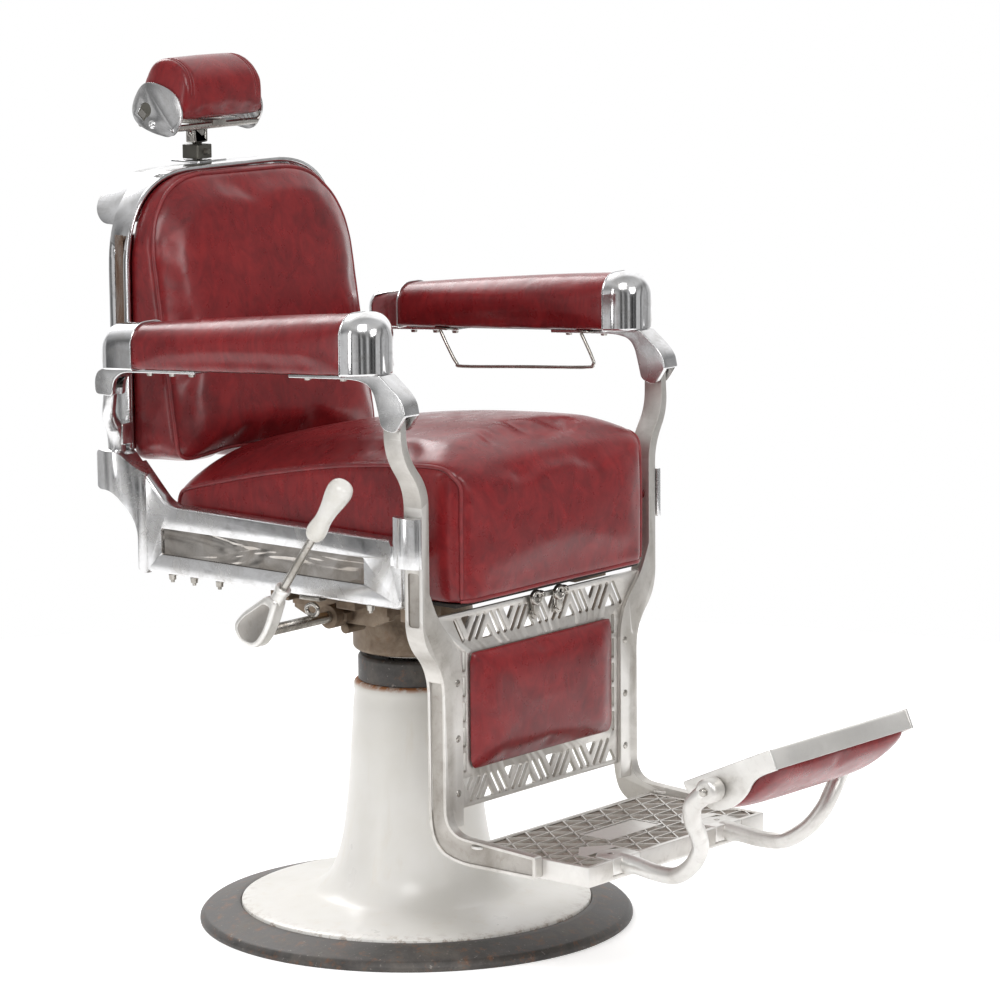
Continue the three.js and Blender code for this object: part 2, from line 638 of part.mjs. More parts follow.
function grillePanel() {
  const { half, bottom, top } = PANEL;
  const edge = [[half, 424, 10], [221, 459, 10], [232, 486, 10], [236, top]];
  const opposite = edge.map(([x, ...rest]) => [-x, ...rest]).reverse();
  const sheet = outline([[-half, bottom], [half, bottom], ...edge, ...opposite]);
  const pitch = 46;
  const lean = 22;
  const slots = [];
  for (const band of [[464, 498], [236, 268]]) {
    for (let column = -4; column < 4; column += 1) {
      const forward = column % 2 === 0;
      const x = column * pitch + (forward ? 2 : 2 + lean);
      slots.push(...[x, x + 11].map((place) => latticeSlot(place, band, forward ? lean : -lean)));
    }
  }
  for (const side of [-1, 1]) {
    for (let row = 0; row < 4; row += 1) {
      const z = 286 + row * 38;
      slots.push(box([side * 167 - 4, side * 167 + 4], [-250, -220], [z, z + 30]));
    }
  }
  return cut(acrossY(sheet, [PANEL.front, PANEL.rear]), ...slots);
}

function hookBracket(x) {
  const screw = [x, 480];
  const eye = [x, 507.3];
  const front = -246;
  const tail = acrossY(linkOutline(screw, 8, eye, 8), [front, PANEL.front - GAP]);
  const ring = acrossY(new THREE.Shape().absarc(eye[0], eye[1], 9.2, 0, 2 * Math.PI, false), [front - 4, PANEL.front - GAP]);
  return cut(join(tail, ring), rod([x, -270, eye[1]], [x, -200, eye[1]], 5));
}

function footplate() {
  const { half, y: [front, rear], z: [bottom, top], wall } = FOOTPLATE;
  const plate = box([-half, half], [front, rear], [bottom, top]);
  const underside = box([wall - half, half - wall], [front + wall, rear - wall], [bottom - 1, top - wall]);
  const [rootIn, rootOut] = HOOK_ROOT.x;
  const notch = (x) => box(x, [front - 1, HOOK_ROOT.y[1] + GAP], [HOOK_ROOT.bottom - GAP, top + 1]);
  return cut(plate, underside, notch([rootIn - GAP, rootOut + GAP]), notch([-rootOut - GAP, GAP - rootIn]));
}

// The tube that carries the foot pad: out of the footplate's edge, down, forward and up to the pad's pivot.
function footArm() {
  const [y, z] = FOOT_PIVOT;
  const route = [
    [117, -478, 175], [117, -505, 176], [120, -538, 172], [125, -575, 175], [133, -608, 196], [142, -629, 224],
    [156, -633, 246], [172, -635, 270], [177, -643, 296], [178, y + 8, z - 4],
  ];
  const root = box(HOOK_ROOT.x, HOOK_ROOT.y, [HOOK_ROOT.bottom, FOOTPLATE.z[1]]);
  const boss = pin(FOOT_PIVOT, 16, [END_PLATE[1] + 1, 190]);
  const stub = pin(FOOT_PIVOT, 6, [END_PLATE[0] - 4, END_PLATE[1] + 2]);
  return join(root, tube(route, 11.5, 26), boss, stub);
}

function legFrame() {
  addPair("front_post", "castAluminium", frontPost());
  add("grille_panel", "castAluminium", grillePanel());
  const pad = outline([[-156, 281, 8], [156, 281, 8], [156, 449, 8], [-156, 449, 8]]);
  add("leg_pad", "vinyl", acrossY(pad, [-251, PANEL.front - GAP]));
  add("hook_bracket_left", "steel", hookBracket(39));
  add("hook_bracket_right", "steel", hookBracket(-13));
  add("footplate", "castAluminium", footplate());
  addPair("foot_arm", "castAluminium", footArm());
}

// ---- Foot pad ----

// A point of the foot pad's section: along the tray towards its front edge, and square to the tray.
function padPoint(along, up, rounding = 0) {
  const [y, z] = FOOT_PIVOT;
  const c = Math.cos(FOOT_PAD_TILT);
  const s = Math.sin(FOOT_PAD_TILT);
  return [y - along * c + up * s, z + along * s + up * c, rounding];
}

function footPad() {
  const cheek = outline([
    padPoint(-53, 24, 2), padPoint(-53, 12, 8), padPoint(-24, -26, 18), padPoint(10, -32, 16), padPoint(46, -20, 20),
    padPoint(74, -5, 14), padPoint(104, -5), padPoint(104, 24),
  ]);
  const sheet = 3;
  const skin = 23.5;
  const tip = 103.5;
  const tray = outline([
    padPoint(-52, skin), padPoint(-52, skin - sheet), padPoint(tip - sheet, skin - sheet), padPoint(tip - sheet, -4),
    padPoint(tip, -4), padPoint(tip, skin),
  ]);
  const between = [-END_PLATE[0] - 1, END_PLATE[0] + 1];
  const cheeks = [[-END_PLATE[1], -END_PLATE[0]], END_PLATE].map((x) => acrossX(cheek, x));
  const holes = pin(FOOT_PIVOT, 6.4, [-200, 200]);
  add("footrest_tray", "castAluminium", cut(join(acrossX(tray, between), ...cheeks), holes));
  const inset = sheet + GAP;
  const belly = outline([
    padPoint(-44, skin - inset), padPoint(-48, 8, 12), padPoint(-24, -28, 24), padPoint(12, -36, 24), padPoint(70, -24, 30),
    padPoint(tip - inset, -8, 6), padPoint(tip - inset, skin - inset),
  ]);
  const stubRoom = [[-200, -END_PLATE[0] + 8], [END_PLATE[0] - 8, 200]].map((x) => pin(FOOT_PIVOT, 8, x));
  add("footrest_cushion", "vinyl", cut(acrossX(belly, [-FOOT_PAD_HALF, FOOT_PAD_HALF]), ...stubRoom));
}

pedestal();
ram();
seatFrame();
pumpLever();
back();
headrest();
arms();
legFrame();
footPad();

export default chair;
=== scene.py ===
"""Looks for the hydraulic barber chair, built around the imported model.

Shapes are given in millimetres in the chair's frame: the sitter faces -Y, +X is the sitter's left, +Z is up.
Paired pieces are built on the left and mirrored.
"""

import math

import bmesh
import bpy
import numpy as np
from mathutils import Matrix, Vector
from mathutils.bvhtree import BVHTree


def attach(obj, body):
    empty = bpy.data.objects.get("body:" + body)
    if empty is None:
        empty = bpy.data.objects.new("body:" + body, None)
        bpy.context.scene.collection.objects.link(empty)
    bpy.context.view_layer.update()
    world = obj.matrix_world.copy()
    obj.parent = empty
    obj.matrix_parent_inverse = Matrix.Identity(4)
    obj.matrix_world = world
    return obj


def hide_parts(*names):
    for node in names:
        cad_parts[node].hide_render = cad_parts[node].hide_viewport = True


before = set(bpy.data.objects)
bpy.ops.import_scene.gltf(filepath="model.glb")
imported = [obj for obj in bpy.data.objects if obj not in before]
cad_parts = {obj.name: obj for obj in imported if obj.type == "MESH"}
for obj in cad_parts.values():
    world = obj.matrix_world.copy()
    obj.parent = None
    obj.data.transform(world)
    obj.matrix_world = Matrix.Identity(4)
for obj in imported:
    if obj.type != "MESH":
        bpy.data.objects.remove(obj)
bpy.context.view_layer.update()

MM = 0.001
scene = bpy.context.scene

# Pivots of the linkage, as (y, z)
REAR_PIVOT = (350, 662)
FRONT_PIVOT = (-226, 617)
ARM_REAR_PIVOT = (320, 788)
ARM_FRONT_PIVOT = (-222, 791)
HEAD_PIVOT = (413, 1128)
FOOT_PIVOT = (-672, 318)
LEVER_AXIS = (0, 474)

# The arms' middle, the rails' two faces, and the front faces of the posts and the grille
ARM_X = 288
RAIL_INNER, RAIL_OUTER = 222, 240
POST_FRONT = -243
GRILLE_FRONT = -236.7

# The studio: the floor's radius in metres, its glow, and where the bright wall stands, seen from the chair
FLOOR_RADIUS = 2.2
FLOOR_GLOW = 0.42
BACKDROP = (0.69, 0.66, 0.30)
WORLD_STRENGTH = 0.62

# ---------------------------------------------------------------- materials


class Nodes:
    """A small helper that adds and links shader nodes."""

    def __init__(self, tree):
        self.tree = tree
        self.tree.nodes.clear()

    def feed(self, socket, value):
        if isinstance(value, bpy.types.NodeSocket):
            self.tree.links.new(value, socket)
        else:
            socket.default_value = value

    def new(self, kind, inputs=None, **settings):
        node = self.tree.nodes.new(kind)
        for name, value in settings.items():
            setattr(node, name, value)
        for name, value in (inputs or {}).items():
            self.feed(node.inputs[name], value)
        return node

    def place(self, stretch=None):
        """Each point's place in the chair's frame, in metres, stretched by three factors."""
        here = self.new("ShaderNodeTexCoord").outputs["Object"]
        if stretch is None:
            return here
        return self.new("ShaderNodeMapping", {"Vector": here, "Scale": stretch}).outputs[0]

    def noise(self, scale, detail=4.0, roughness=0.55, distortion=0.0, stretch=None, vector=None):
        values = {"Vector": vector or self.place(stretch), "Scale": scale, "Detail": detail}
        values |= {"Roughness": roughness, "Distortion": distortion}
        return self.new("ShaderNodeTexNoise", values).outputs["Fac"]

    def cells(self, scale, stretch=None):
        values = {"Vector": self.place(stretch), "Scale": scale}
        return self.new("ShaderNodeTexVoronoi", values, feature="F1").outputs["Distance"]

    def ramp(self, factor, stops):
        node = self.new("ShaderNodeValToRGB", {"Fac": factor})
        elements = node.color_ramp.elements
        while len(elements) < len(stops):
            elements.new(0.5)
        for element, (at, colour) in zip(elements, stops):
            element.position = at
            element.color = (*colour, 1) if isinstance(colour, tuple) else (colour, colour, colour, 1)
        return node.outputs["Color"]

    def mix(self, factor, a, b):
        node = self.new("ShaderNodeMix", data_type="RGBA")
        for socket, value in ((node.inputs[0], factor), (node.inputs[6], a), (node.inputs[7], b)):
            self.feed(socket, (*value, 1) if isinstance(value, tuple) else value)
        return node.outputs[2]

    def over(self, colour, mask, strength, tone):
        """The colour with a tone laid over it where the mask is 1."""
        return self.mix(self.times(mask, strength), colour, tone)

    def math(self, operation, a, b):
        node = self.new("ShaderNodeMath", operation=operation)
        self.feed(node.inputs[0], a)
        self.feed(node.inputs[1], b)
        return node.outputs[0]

    def times(self, a, b):
        return self.math("MULTIPLY", a, b)

    def range(self, value, low, high, to_low=0.0, to_high=1.0):
        values = {"Value": value, "From Min": low, "From Max": high, "To Min": to_low, "To Max": to_high}
        return self.new("ShaderNodeMapRange", values).outputs[0]

    def height(self):
        return self.new("ShaderNodeSeparateXYZ", {"Vector": self.place()}).outputs["Z"]

    def pointed(self, low, high):
        """Grows from 0 to 1 as the surface's pointiness goes from low to high."""
        return self.range(self.new("ShaderNodeNewGeometry").outputs["Pointiness"], low, high)

    def bump(self, layers):
        """Stacks (height, strength, distance in mm) layers; a tuple height is noise, a number is cells."""
        normal = None
        for height, strength, distance in layers:
            if isinstance(height, tuple):
                height = self.noise(*height)
            elif isinstance(height, int):
                height = self.cells(height)
            values = {"Height": height, "Strength": strength, "Distance": distance * MM}
            node = self.new("ShaderNodeBump", values)
            if normal is not None:
                self.feed(node.inputs["Normal"], normal)
            normal = node.outputs["Normal"]
        return normal

    def surface(self, **inputs):
        names = {
            "colour": "Base Color",
            "roughness": "Roughness",
            "metallic": "Metallic",
            "normal": "Normal",
            "coat": "Coat Weight",
            "coat_roughness": "Coat Roughness",
            "specular": "Specular IOR Level",
        }
        shader = self.new("ShaderNodeBsdfPrincipled", {names[k]: v for k, v in inputs.items()})
        self.new("ShaderNodeOutputMaterial", {"Surface": shader.outputs[0]})


def material(name, slot_name):
    made = bpy.data.materials.new(name)
    made.use_nodes = True
    made["slot"] = slot_name
    return made, Nodes(made.node_tree)


# Pointiness at which an outer edge starts and ends to show wear, and at which an inner corner starts and ends
# to darken with painted shade and grime
WORN = (0.51, 0.56)
CORNER_SHADE_AND_GRIME = (0.492, 0.455)


def finish(name, slot_name, cloud, colours, roughness, bumps, patches=(), edges=None, corners=None, **extra):
    """A finish that clouds over in colour and gloss.

    cloud: the noise behind both. colours: stops along it. roughness: from, to, at from, at to.
    patches: (noise, from, to, strength, tone) of rust and stains.
    edges and corners: (strength, tone) of rubbed outer edges, and of inner corners darkened with painted
    shade and grime.
    """
    made, n = material(name, slot_name)
    clouds = n.noise(*cloud)
    colour = n.ramp(clouds, colours)
    for noise, low, high, strength, tone in patches:
        colour = n.over(colour, n.range(n.noise(*noise), low, high), strength, tone)
    if edges:
        colour = n.over(colour, n.pointed(*WORN), *edges)
    if corners:
        # Inner corners darkened: painted shade, with grime
        colour = n.over(colour, n.pointed(*CORNER_SHADE_AND_GRIME), *corners)
    n.surface(colour=colour, roughness=n.range(clouds, *roughness), normal=n.bump(bumps), **extra)
    return made


def vinyl():
    """Marbled oxblood vinyl: streaky colour, leather-like grain, stretch creases."""
    made, n = material("oxblood_vinyl", "vinyl")
    clouds = n.noise(9, 5, 0.6, 1.2)
    streaks = n.noise(26, 7, 0.66, 2.6, (1.0, 1.6, 0.6))
    blend = n.math("ADD", n.times(clouds, 0.5), n.times(streaks, 0.5))
    reds = [
        (0.34, (0.105, 0.0080, 0.0100)),
        (0.46, (0.155, 0.0100, 0.0125)),
        (0.54, (0.195, 0.0125, 0.0150)),
        (0.66, (0.250, 0.0170, 0.0185)),
    ]
    veins = n.range(n.noise(120, 4, 0.6, 1.0), 0.52, 0.70)
    colour = n.over(n.ramp(blend, reds), veins, 0.22, (0.26, 0.026, 0.024))
    roughness = n.range(n.noise(40, 4), 0.3, 0.7, 0.24, 0.36)
    pores = n.cells(300, (1.0, 1.3, 0.9))
    creases = n.ramp(n.noise(34, 8, 0.72, 1.8), [(0.44, 0.0), (0.50, 1.0), (0.56, 0.0)])
    layers = [(780, 0.05, 0.3), (pores, 0.012, 0.3), (creases, 0.02, 0.3), ((16, 3), 0.20, 2.2)]
    gloss = {"coat": 0.05, "coat_roughness": 0.2, "specular": 0.42}
    n.surface(colour=colour, roughness=roughness, normal=n.bump(layers), **gloss)
    return made


def piping_vinyl():
    made, n = material("oxblood_piping", "vinyl")
    colour = n.ramp(n.noise(60, 5, 0.6), [(0.35, (0.085, 0.005, 0.009)), (0.65, (0.20, 0.012, 0.016))])
    colour = n.over(colour, n.pointed(0.5, 0.56), 0.4, (0.32, 0.05, 0.05))
    normal = n.bump([(700, 0.15, 0.3), ((240, 3), 0.15, 0.3)])
    n.surface(colour=colour, roughness=n.range(n.noise(80), 0.3, 0.7, 0.33, 0.46), normal=normal)
    return made


def wavy_insert():
    """The rail's bright insert: thin metal whose waves break up what it reflects."""
    made, n = material("wavy_insert", "chrome")
    tint = n.ramp(n.noise(18, 4, 0.6, 1.0), [(0.35, (0.36, 0.325, 0.29)), (0.65, (0.52, 0.49, 0.46))])
    normal = n.bump([((9, 2, 0.45, 0.9, (1.0, 0.6, 2.4)), 0.75, 7.0)])
    n.surface(colour=tint, roughness=n.range(n.noise(60), 0.3, 0.7, 0.05, 0.14), metallic=1.0, normal=normal)
    return made


def cast(name, light, dark):
    """Dull cast aluminium: soft mottling, dirt in the pits, edges rubbed bright, inner corners darkened with
    painted shade and grime.
    """
    made, n = material(name, "cast_aluminium")
    cloud = n.noise(11, 6, 0.62, 0.6)
    colour = n.ramp(cloud, [(0.38, light), (0.66, dark)])
    grime = n.range(n.noise(70, 8, 0.75, 0.3), 0.52, 0.74)
    colour = n.over(colour, grime, 0.42, (0.20, 0.165, 0.13))
    colour = n.over(colour, n.pointed(0.505, 0.55), 0.7, (0.80, 0.785, 0.76))
    # Inner corners darkened: painted shade, with grime
    colour = n.over(colour, n.pointed(*CORNER_SHADE_AND_GRIME), 0.8, (0.10, 0.075, 0.055))
    pits = n.range(n.cells(240), 0.0, 0.35)
    normal = n.bump([((30, 4), 0.18, 1.2), (pits, 0.08, 0.3), ((420, 3), 0.12, 0.2)])
    roughness = n.range(cloud, 0.3, 0.7, 0.33, 0.52)
    n.surface(colour=colour, roughness=roughness, metallic=0.88, normal=normal)
    return made


def enamel():
    """Off-white porcelain: slightly wavy gloss, yellowed runs, rust creeping down from the top rim."""
    made, n = material("porcelain", "enamel")
    clouds = n.noise(6, 4, 0.6)
    colour = n.ramp(clouds, [(0.35, (0.735, 0.72, 0.69)), (0.7, (0.67, 0.65, 0.60))])
    runs = n.range(n.noise(42, 5, 0.62, 0.2, (1.0, 1.0, 0.12)), 0.56, 0.74)
    colour = n.over(colour, runs, 0.20, (0.58, 0.48, 0.35))
    rust = n.times(n.range(n.height(), 0.349, 0.3545), n.range(n.noise(60, 6, 0.7), 0.36, 0.52))
    colour = n.over(colour, rust, 0.95, (0.42, 0.15, 0.04))
    chips = n.times(n.range(n.height(), 0.034, 0.026), n.range(n.noise(85, 6, 0.7), 0.50, 0.60))
    colour = n.over(colour, chips, 0.8, (0.22, 0.13, 0.075))
    roughness = n.math("ADD", n.range(clouds, 0.3, 0.7, 0.26, 0.38), n.times(rust, 0.5))
    normal = n.bump([((9, 3), 0.12, 2.0), ((120, 3), 0.03, 0.2)])
    gloss = {"coat": 0.1, "coat_roughness": 0.3, "specular": 0.5}
    n.surface(colour=colour, roughness=roughness, normal=normal, **gloss)
    return made


VINYL = vinyl()
PIPING = piping_vinyl()
MIRROR = wavy_insert()
CAST = cast("cast_aluminium", (0.60, 0.575, 0.54), (0.40, 0.375, 0.34))
SATIN = cast("satin_aluminium", (0.70, 0.69, 0.665), (0.55, 0.53, 0.50))
ENAMEL = enamel()
CHROME = finish(
    "worn_chrome",
    "chrome",
    (30, 6, 0.62, 0.6),
    [(0.45, (0.80, 0.80, 0.81)), (0.72, (0.63, 0.62, 0.61))],
    (0.35, 0.7, 0.085, 0.20),
    [((22, 2), 0.10, 1.6), ((300, 2), 0.03, 0.1)],
    [((150, 5, 0.7), 0.60, 0.72, 0.45, (0.35, 0.31, 0.27))],
    metallic=1.0,
)
POLISHED = finish(
    "polished_aluminium",
    "polished_aluminium",
    (14, 6, 0.65, 0.8),
    [(0.4, (0.70, 0.70, 0.71)), (0.7, (0.54, 0.53, 0.52))],
    (0.35, 0.7, 0.15, 0.34),
    [((16, 3), 0.22, 1.6), ((90, 3, 0.6, 0.0, (1.0, 0.12, 2.2)), 0.05, 0.15), ((500, 2), 0.04, 0.1)],
    [((45, 7, 0.7, 0.4), 0.50, 0.70, 0.40, (0.33, 0.31, 0.29))],
    (0.5, (0.84, 0.84, 0.84)),
    # Inner corners darkened with painted shade and grime
    (0.6, (0.12, 0.10, 0.085)),
    metallic=1.0,
)
STEEL = finish(
    "worn_nickel",
    "steel",
    (40, 5, 0.6),
    [(0.4, (0.48, 0.46, 0.43)), (0.65, (0.30, 0.28, 0.25))],
    (0.3, 0.7, 0.18, 0.38),
    [((200, 3), 0.1, 0.2)],
    [((110, 6, 0.7), 0.58, 0.72, 0.5, (0.16, 0.09, 0.05))],
    metallic=1.0,
)
HUB = finish(
    "oily_iron",
    "hub_iron",
    (24, 6, 0.65, 0.4),
    [(0.34, (0.090, 0.064, 0.042)), (0.5, (0.18, 0.132, 0.092)), (0.68, (0.27, 0.215, 0.16))],
    (0.3, 0.7, 0.42, 0.62),
    [((60, 5), 0.35, 1.0), (420, 0.12, 0.3)],
    [((80, 7, 0.7), 0.56, 0.72, 0.55, (0.19, 0.085, 0.035))],
    metallic=0.55,
)
RING = finish(
    "dark_iron",
    "cast_iron",
    (13, 7, 0.7, 0.5),
    [(0.34, (0.030, 0.027, 0.025)), (0.52, (0.070, 0.064, 0.060)), (0.70, (0.13, 0.115, 0.10))],
    (0.3, 0.7, 0.40, 0.62),
    [((45, 6, 0.65), 0.30, 1.0), (350, 0.15, 0.3)],
    [
        ((55, 8, 0.75, 0.3), 0.54, 0.68, 0.75, (0.20, 0.085, 0.035)),
        ((160, 4, 0.7), 0.63, 0.70, 0.6, (0.34, 0.31, 0.28)),
    ],
    metallic=0.35,
)
BLACK = finish(
    "black_iron",
    "blackened",
    (50, 6, 0.65),
    [(0.35, (0.012, 0.012, 0.010)), (0.7, (0.055, 0.055, 0.045))],
    (0.3, 0.7, 0.34, 0.55),
    [((150, 4), 0.25, 0.4)],
    edges=(0.6, (0.22, 0.21, 0.18)),
    metallic=0.6,
)
KNOB = finish(
    "white_handle",
    "knob",
    (28, 5, 0.6),
    [(0.45, (0.72, 0.705, 0.67)), (0.72, (0.62, 0.595, 0.54))],
    (0.3, 0.7, 0.16, 0.30),
    [((35, 3), 0.12, 0.8)],
    [((140, 5, 0.7), 0.64, 0.74, 0.5, (0.45, 0.38, 0.30))],
    coat=0.2,
)
PLYWOOD_GRAIN = (30, 6, 0.6, 1.5, (1.0, 12.0, 6.0))
BOARD = finish(
    "plywood",
    "board",
    PLYWOOD_GRAIN,
    [(0.3, (0.20, 0.11, 0.05)), (0.7, (0.36, 0.22, 0.11))],
    (0.3, 0.7, 0.6, 0.8),
    [(PLYWOOD_GRAIN, 0.3, 0.4)],
)
# Dark cloth and shadow inside the pads' undersides
LINING = finish(
    "dark_lining",
    "vinyl",
    (600, 2),
    [(0.3, (0.010, 0.008, 0.007)), (0.7, (0.030, 0.024, 0.020))],
    (0.3, 0.7, 0.8, 0.95),
    [((600, 2), 0.3, 0.3)],
)
# Plating gone brown in the hoop's hollow side
TARNISHED = finish(
    "tarnished",
    "chrome",
    (16, 6, 0.65, 1.0, (1.0, 1.0, 0.4)),
    [(0.36, (0.10, 0.055, 0.035)), (0.5, (0.26, 0.17, 0.125)), (0.62, (0.46, 0.40, 0.36))],
    (0.35, 0.65, 0.35, 0.18),
    [((40, 4), 0.2, 0.6)],
    metallic=0.9,
)
# Dirt packed in the footplate's cells
SAND = finish(
    "packed_dirt",
    "cast_aluminium",
    (60, 6, 0.7),
    [(0.35, (0.17, 0.14, 0.115)), (0.65, (0.34, 0.30, 0.26))],
    (0.3, 0.7, 0.45, 0.7),
    [((300, 4), 0.3, 0.4)],
    metallic=0.35,
)

# ---------------------------------------------------------------- shapes


def turns(sides):
    return [2 * math.pi * i / sides for i in range(sides)]


def corner_arc(before, corner, after, rounding, share, steps):
    """Points round a corner, taking up at most a share of either side."""
    back, ahead = before - corner, after - corner
    start = corner + back.normalized() * min(rounding, back.length * share)
    end = corner + ahead.normalized() * min(rounding, ahead.length * share)
    shares = [step / steps for step in range(steps + 1)]
    return [start * (1 - t) ** 2 + corner * (2 * t * (1 - t)) + end * t * t for t in shares]


def rounded(corners, steps=8):
    """A closed outline through corners (u, v, rounding)."""
    points = []
    count = len(corners)
    for index, (u, v, *rest) in enumerate(corners):
        corner = Vector((u, v))
        if not rest or not rest[0]:
            points.append(corner)
            continue
        before = Vector(corners[index - 1][:2])
        after = Vector(corners[(index + 1) % count][:2])
        points += corner_arc(before, corner, after, rest[0], 0.49, steps)
    return points


def box_outline(u, v, rounding=0, steps=8):
    """A rectangle between two values of u and two of v, with rounded corners."""
    corners = [(u[0], v[0]), (u[1], v[0]), (u[1], v[1]), (u[0], v[1])]
    return rounded([(*corner, rounding) for corner in corners], steps)


def circle(middle, radius, sides=32):
    x, y = middle
    return [Vector((x + radius * math.cos(a), y + radius * math.sin(a))) for a in turns(sides)]


def link(middle0, radius0, middle1, radius1, steps=14):
    """The outline of a bar with round ends of two radii."""
    start, end = Vector(middle0), Vector(middle1)
    along = math.atan2(end.y - start.y, end.x - start.x)
    tangent = math.acos((radius0 - radius1) / (end - start).length)
    points = []
    for middle, radius, first, last in (
        (start, radius0, along + tangent, along - tangent + 2 * math.pi),
        (end, radius1, along - tangent, along + tangent),
    ):
        for step in range(steps + 1):
            a = first + (last - first) * step / steps
            points.append(middle + Vector((math.cos(a), math.sin(a))) * radius)
    return points


def make_object(bm, name="shape"):
    bmesh.ops.recalc_face_normals(bm, faces=bm.faces[:])
    mesh = bpy.data.meshes.new(name)
    bm.to_mesh(mesh)
    bm.free()
    made = bpy.data.objects.new(name, mesh)
    scene.collection.objects.link(made)
    return made


PLACES = {
    "x": lambda u, v, w: Vector((w, u, v)),
    "y": lambda u, v, w: Vector((u, w, v)),
    "z": lambda u, v, w: Vector((u, v, w)),
}


def slab(outline, axis, low, high):
    """An outline spread along one axis: (y, z) along x, (x, z) along y, or (x, y) along z."""
    bm = bmesh.new()
    place = PLACES[axis]
    rings = [[bm.verts.new(place(p[0], p[1], w) * MM) for p in outline] for w in (low, high)]
    for ring in rings:
        bm.faces.new(ring)
    count = len(outline)
    for i in range(count):
        j = (i + 1) % count
        bm.faces.new((rings[0][i], rings[0][j], rings[1][j], rings[1][i]))
    return make_object(bm)


def inset(outline, distance):
    """The outline drawn in by the same distance all round."""
    points = [p for i, p in enumerate(outline) if (p - outline[i - 1]).length > 1e-3]
    area = sum(points[i - 1].x * p.y - p.x * points[i - 1].y for i, p in enumerate(points))
    way = 1 if area > 0 else -1
    moved = []
    for i, p in enumerate(points):
        before = (p - points[i - 1]).normalized()
        after = (points[(i + 1) % len(points)] - p).normalized()
        first = Vector((-before.y, before.x)) * way
        second = Vector((-after.y, after.x)) * way
        moved.append(p + (first + second) * (distance / (1 + first.dot(second))))
    return moved


def pillow(outline, low, high, radius, reach, steps=7):
    """A plate along x whose outer face is rounded over: radius inwards from its outline, reach along x."""
    rings = [[(low, p.x, p.y) for p in inset(outline, 0)]]
    for step in range(steps + 1):
        a = 0.5 * math.pi * step / steps
        drawn = inset(outline, radius * (1 - math.cos(a)))
        rings.append([(high - reach + reach * math.sin(a), p.x, p.y) for p in drawn])
    return loft(rings)


def dense(points, spacing=24):
    """The closed outline with points added along its long straight edges."""
    filled = []
    for i, p in enumerate(points):
        after = points[(i + 1) % len(points)]
        pieces = max(1, round((after - p).length / spacing))
        filled += [p.lerp(after, k / pieces) for k in range(pieces)]
    return filled


def block(x, y, z):
    return slab([(x[0], y[0]), (x[1], y[0]), (x[1], y[1]), (x[0], y[1])], "z", *z)


def loft(rings, closed_ends=True):
    """A skin over rings of points that all have the same count."""
    bm = bmesh.new()
    made = [[bm.verts.new(Vector(p) * MM) for p in ring] for ring in rings]
    count = len(rings[0])
    for first, second in zip(made, made[1:]):
        for i in range(count):
            j = (i + 1) % count
            bm.faces.new((first[i], first[j], second[j], second[i]))
    if closed_ends:
        bm.faces.new(made[0])
        bm.faces.new(made[-1])
    return make_object(bm)


def frame_of(direction):
    z = direction.normalized()
    side = Vector((1, 0, 0)) if abs(z.x) < 0.9 else Vector((0, 1, 0))
    x = side.cross(z).normalized()
    return x, z.cross(x)


def round_ring(middle, x, y, radius, sides):
    return [middle + (x * math.cos(a) + y * math.sin(a)) * radius for a in turns(sides)]


def rod(start, end, radius, end_radius=None, sides=32):
    start, end = Vector(start), Vector(end)
    x, y = frame_of(end - start)
    last = radius if end_radius is None else end_radius
    return loft([round_ring(start, x, y, radius, sides), round_ring(end, x, y, last, sides)])


def pin(pivot, radius, x, sides=32):
    return rod((x[0], *pivot), (x[1], *pivot), radius, sides=sides)


def smooth_path(points, closed=False, density=8):
    """Points along a smooth curve through the given ones."""
    pts = [Vector(p) for p in points]
    count = len(pts)
    result = []
    for i in range(count if closed else count - 1):
        p1, p2 = pts[i], pts[(i + 1) % count]
        p0 = pts[i - 1] if closed or i else p1 * 2 - p2
        p3 = pts[(i + 2) % count] if closed or i + 2 < count else p2 * 2 - p1
        for step in range(density):
            t = step / density
            square = (2 * p0 - 5 * p1 + 4 * p2 - p3) * t * t
            cube = (3 * p1 - p0 - 3 * p2 + p3) * t**3
            result.append(0.5 * (2 * p1 + (p2 - p0) * t + square + cube))
    if not closed:
        result.append(pts[-1])
    return result


def tube(points, radius, sides=16, closed=False, density=8):
    """A round tube along a smooth path; radius may be a number or a list to be spread along it."""
    path = smooth_path(points, closed, density)
    count = len(path)
    radii = np.interp(np.linspace(0, 1, count), np.linspace(0, 1, np.size(radius)), np.atleast_1d(radius))
    tangents = []
    for i in range(count):
        before, after = (i - 1, (i + 1) % count) if closed else (max(i - 1, 0), min(i + 1, count - 1))
        tangents.append((path[after] - path[before]).normalized())
    x, _ = frame_of(tangents[0])
    rings = []
    for middle, tangent, r in zip(path, tangents, radii):
        x = (x - tangent * x.dot(tangent)).normalized()
        rings.append(round_ring(middle, x, tangent.cross(x), float(r), sides))
    if not closed:
        return loft(rings)
    made = loft([*rings, rings[0]], closed_ends=False)
    weld(made, 0.6)
    return made


def weld(made, distance=0.05):
    bm = bmesh.new()
    bm.from_mesh(made.data)
    bmesh.ops.remove_doubles(bm, verts=bm.verts[:], dist=distance * MM)
    bmesh.ops.recalc_face_normals(bm, faces=bm.faces[:])
    bm.to_mesh(made.data)
    bm.free()


def turned(profile, sides=128):
    """A turned piece about the vertical, from (radius, height) points; points on the axis close it."""
    bm = bmesh.new()
    rings = []
    for radius, height in profile:
        angles = turns(sides) if radius >= 0.01 else [0.0]
        r = radius if radius >= 0.01 else 0.0
        rings.append([bm.verts.new(Vector((r * math.cos(a), r * math.sin(a), height)) * MM) for a in angles])
    for first, second in zip(rings, rings[1:]):
        for i in range(sides):
            j = (i + 1) % sides
            corners = [ring[k % len(ring)] for ring, k in ((first, i), (first, j), (second, j), (second, i))]
            unique = list(dict.fromkeys(corners))
            if len(unique) > 2:
                bm.faces.new(unique)
    made = make_object(bm)
    weld(made)
    return made


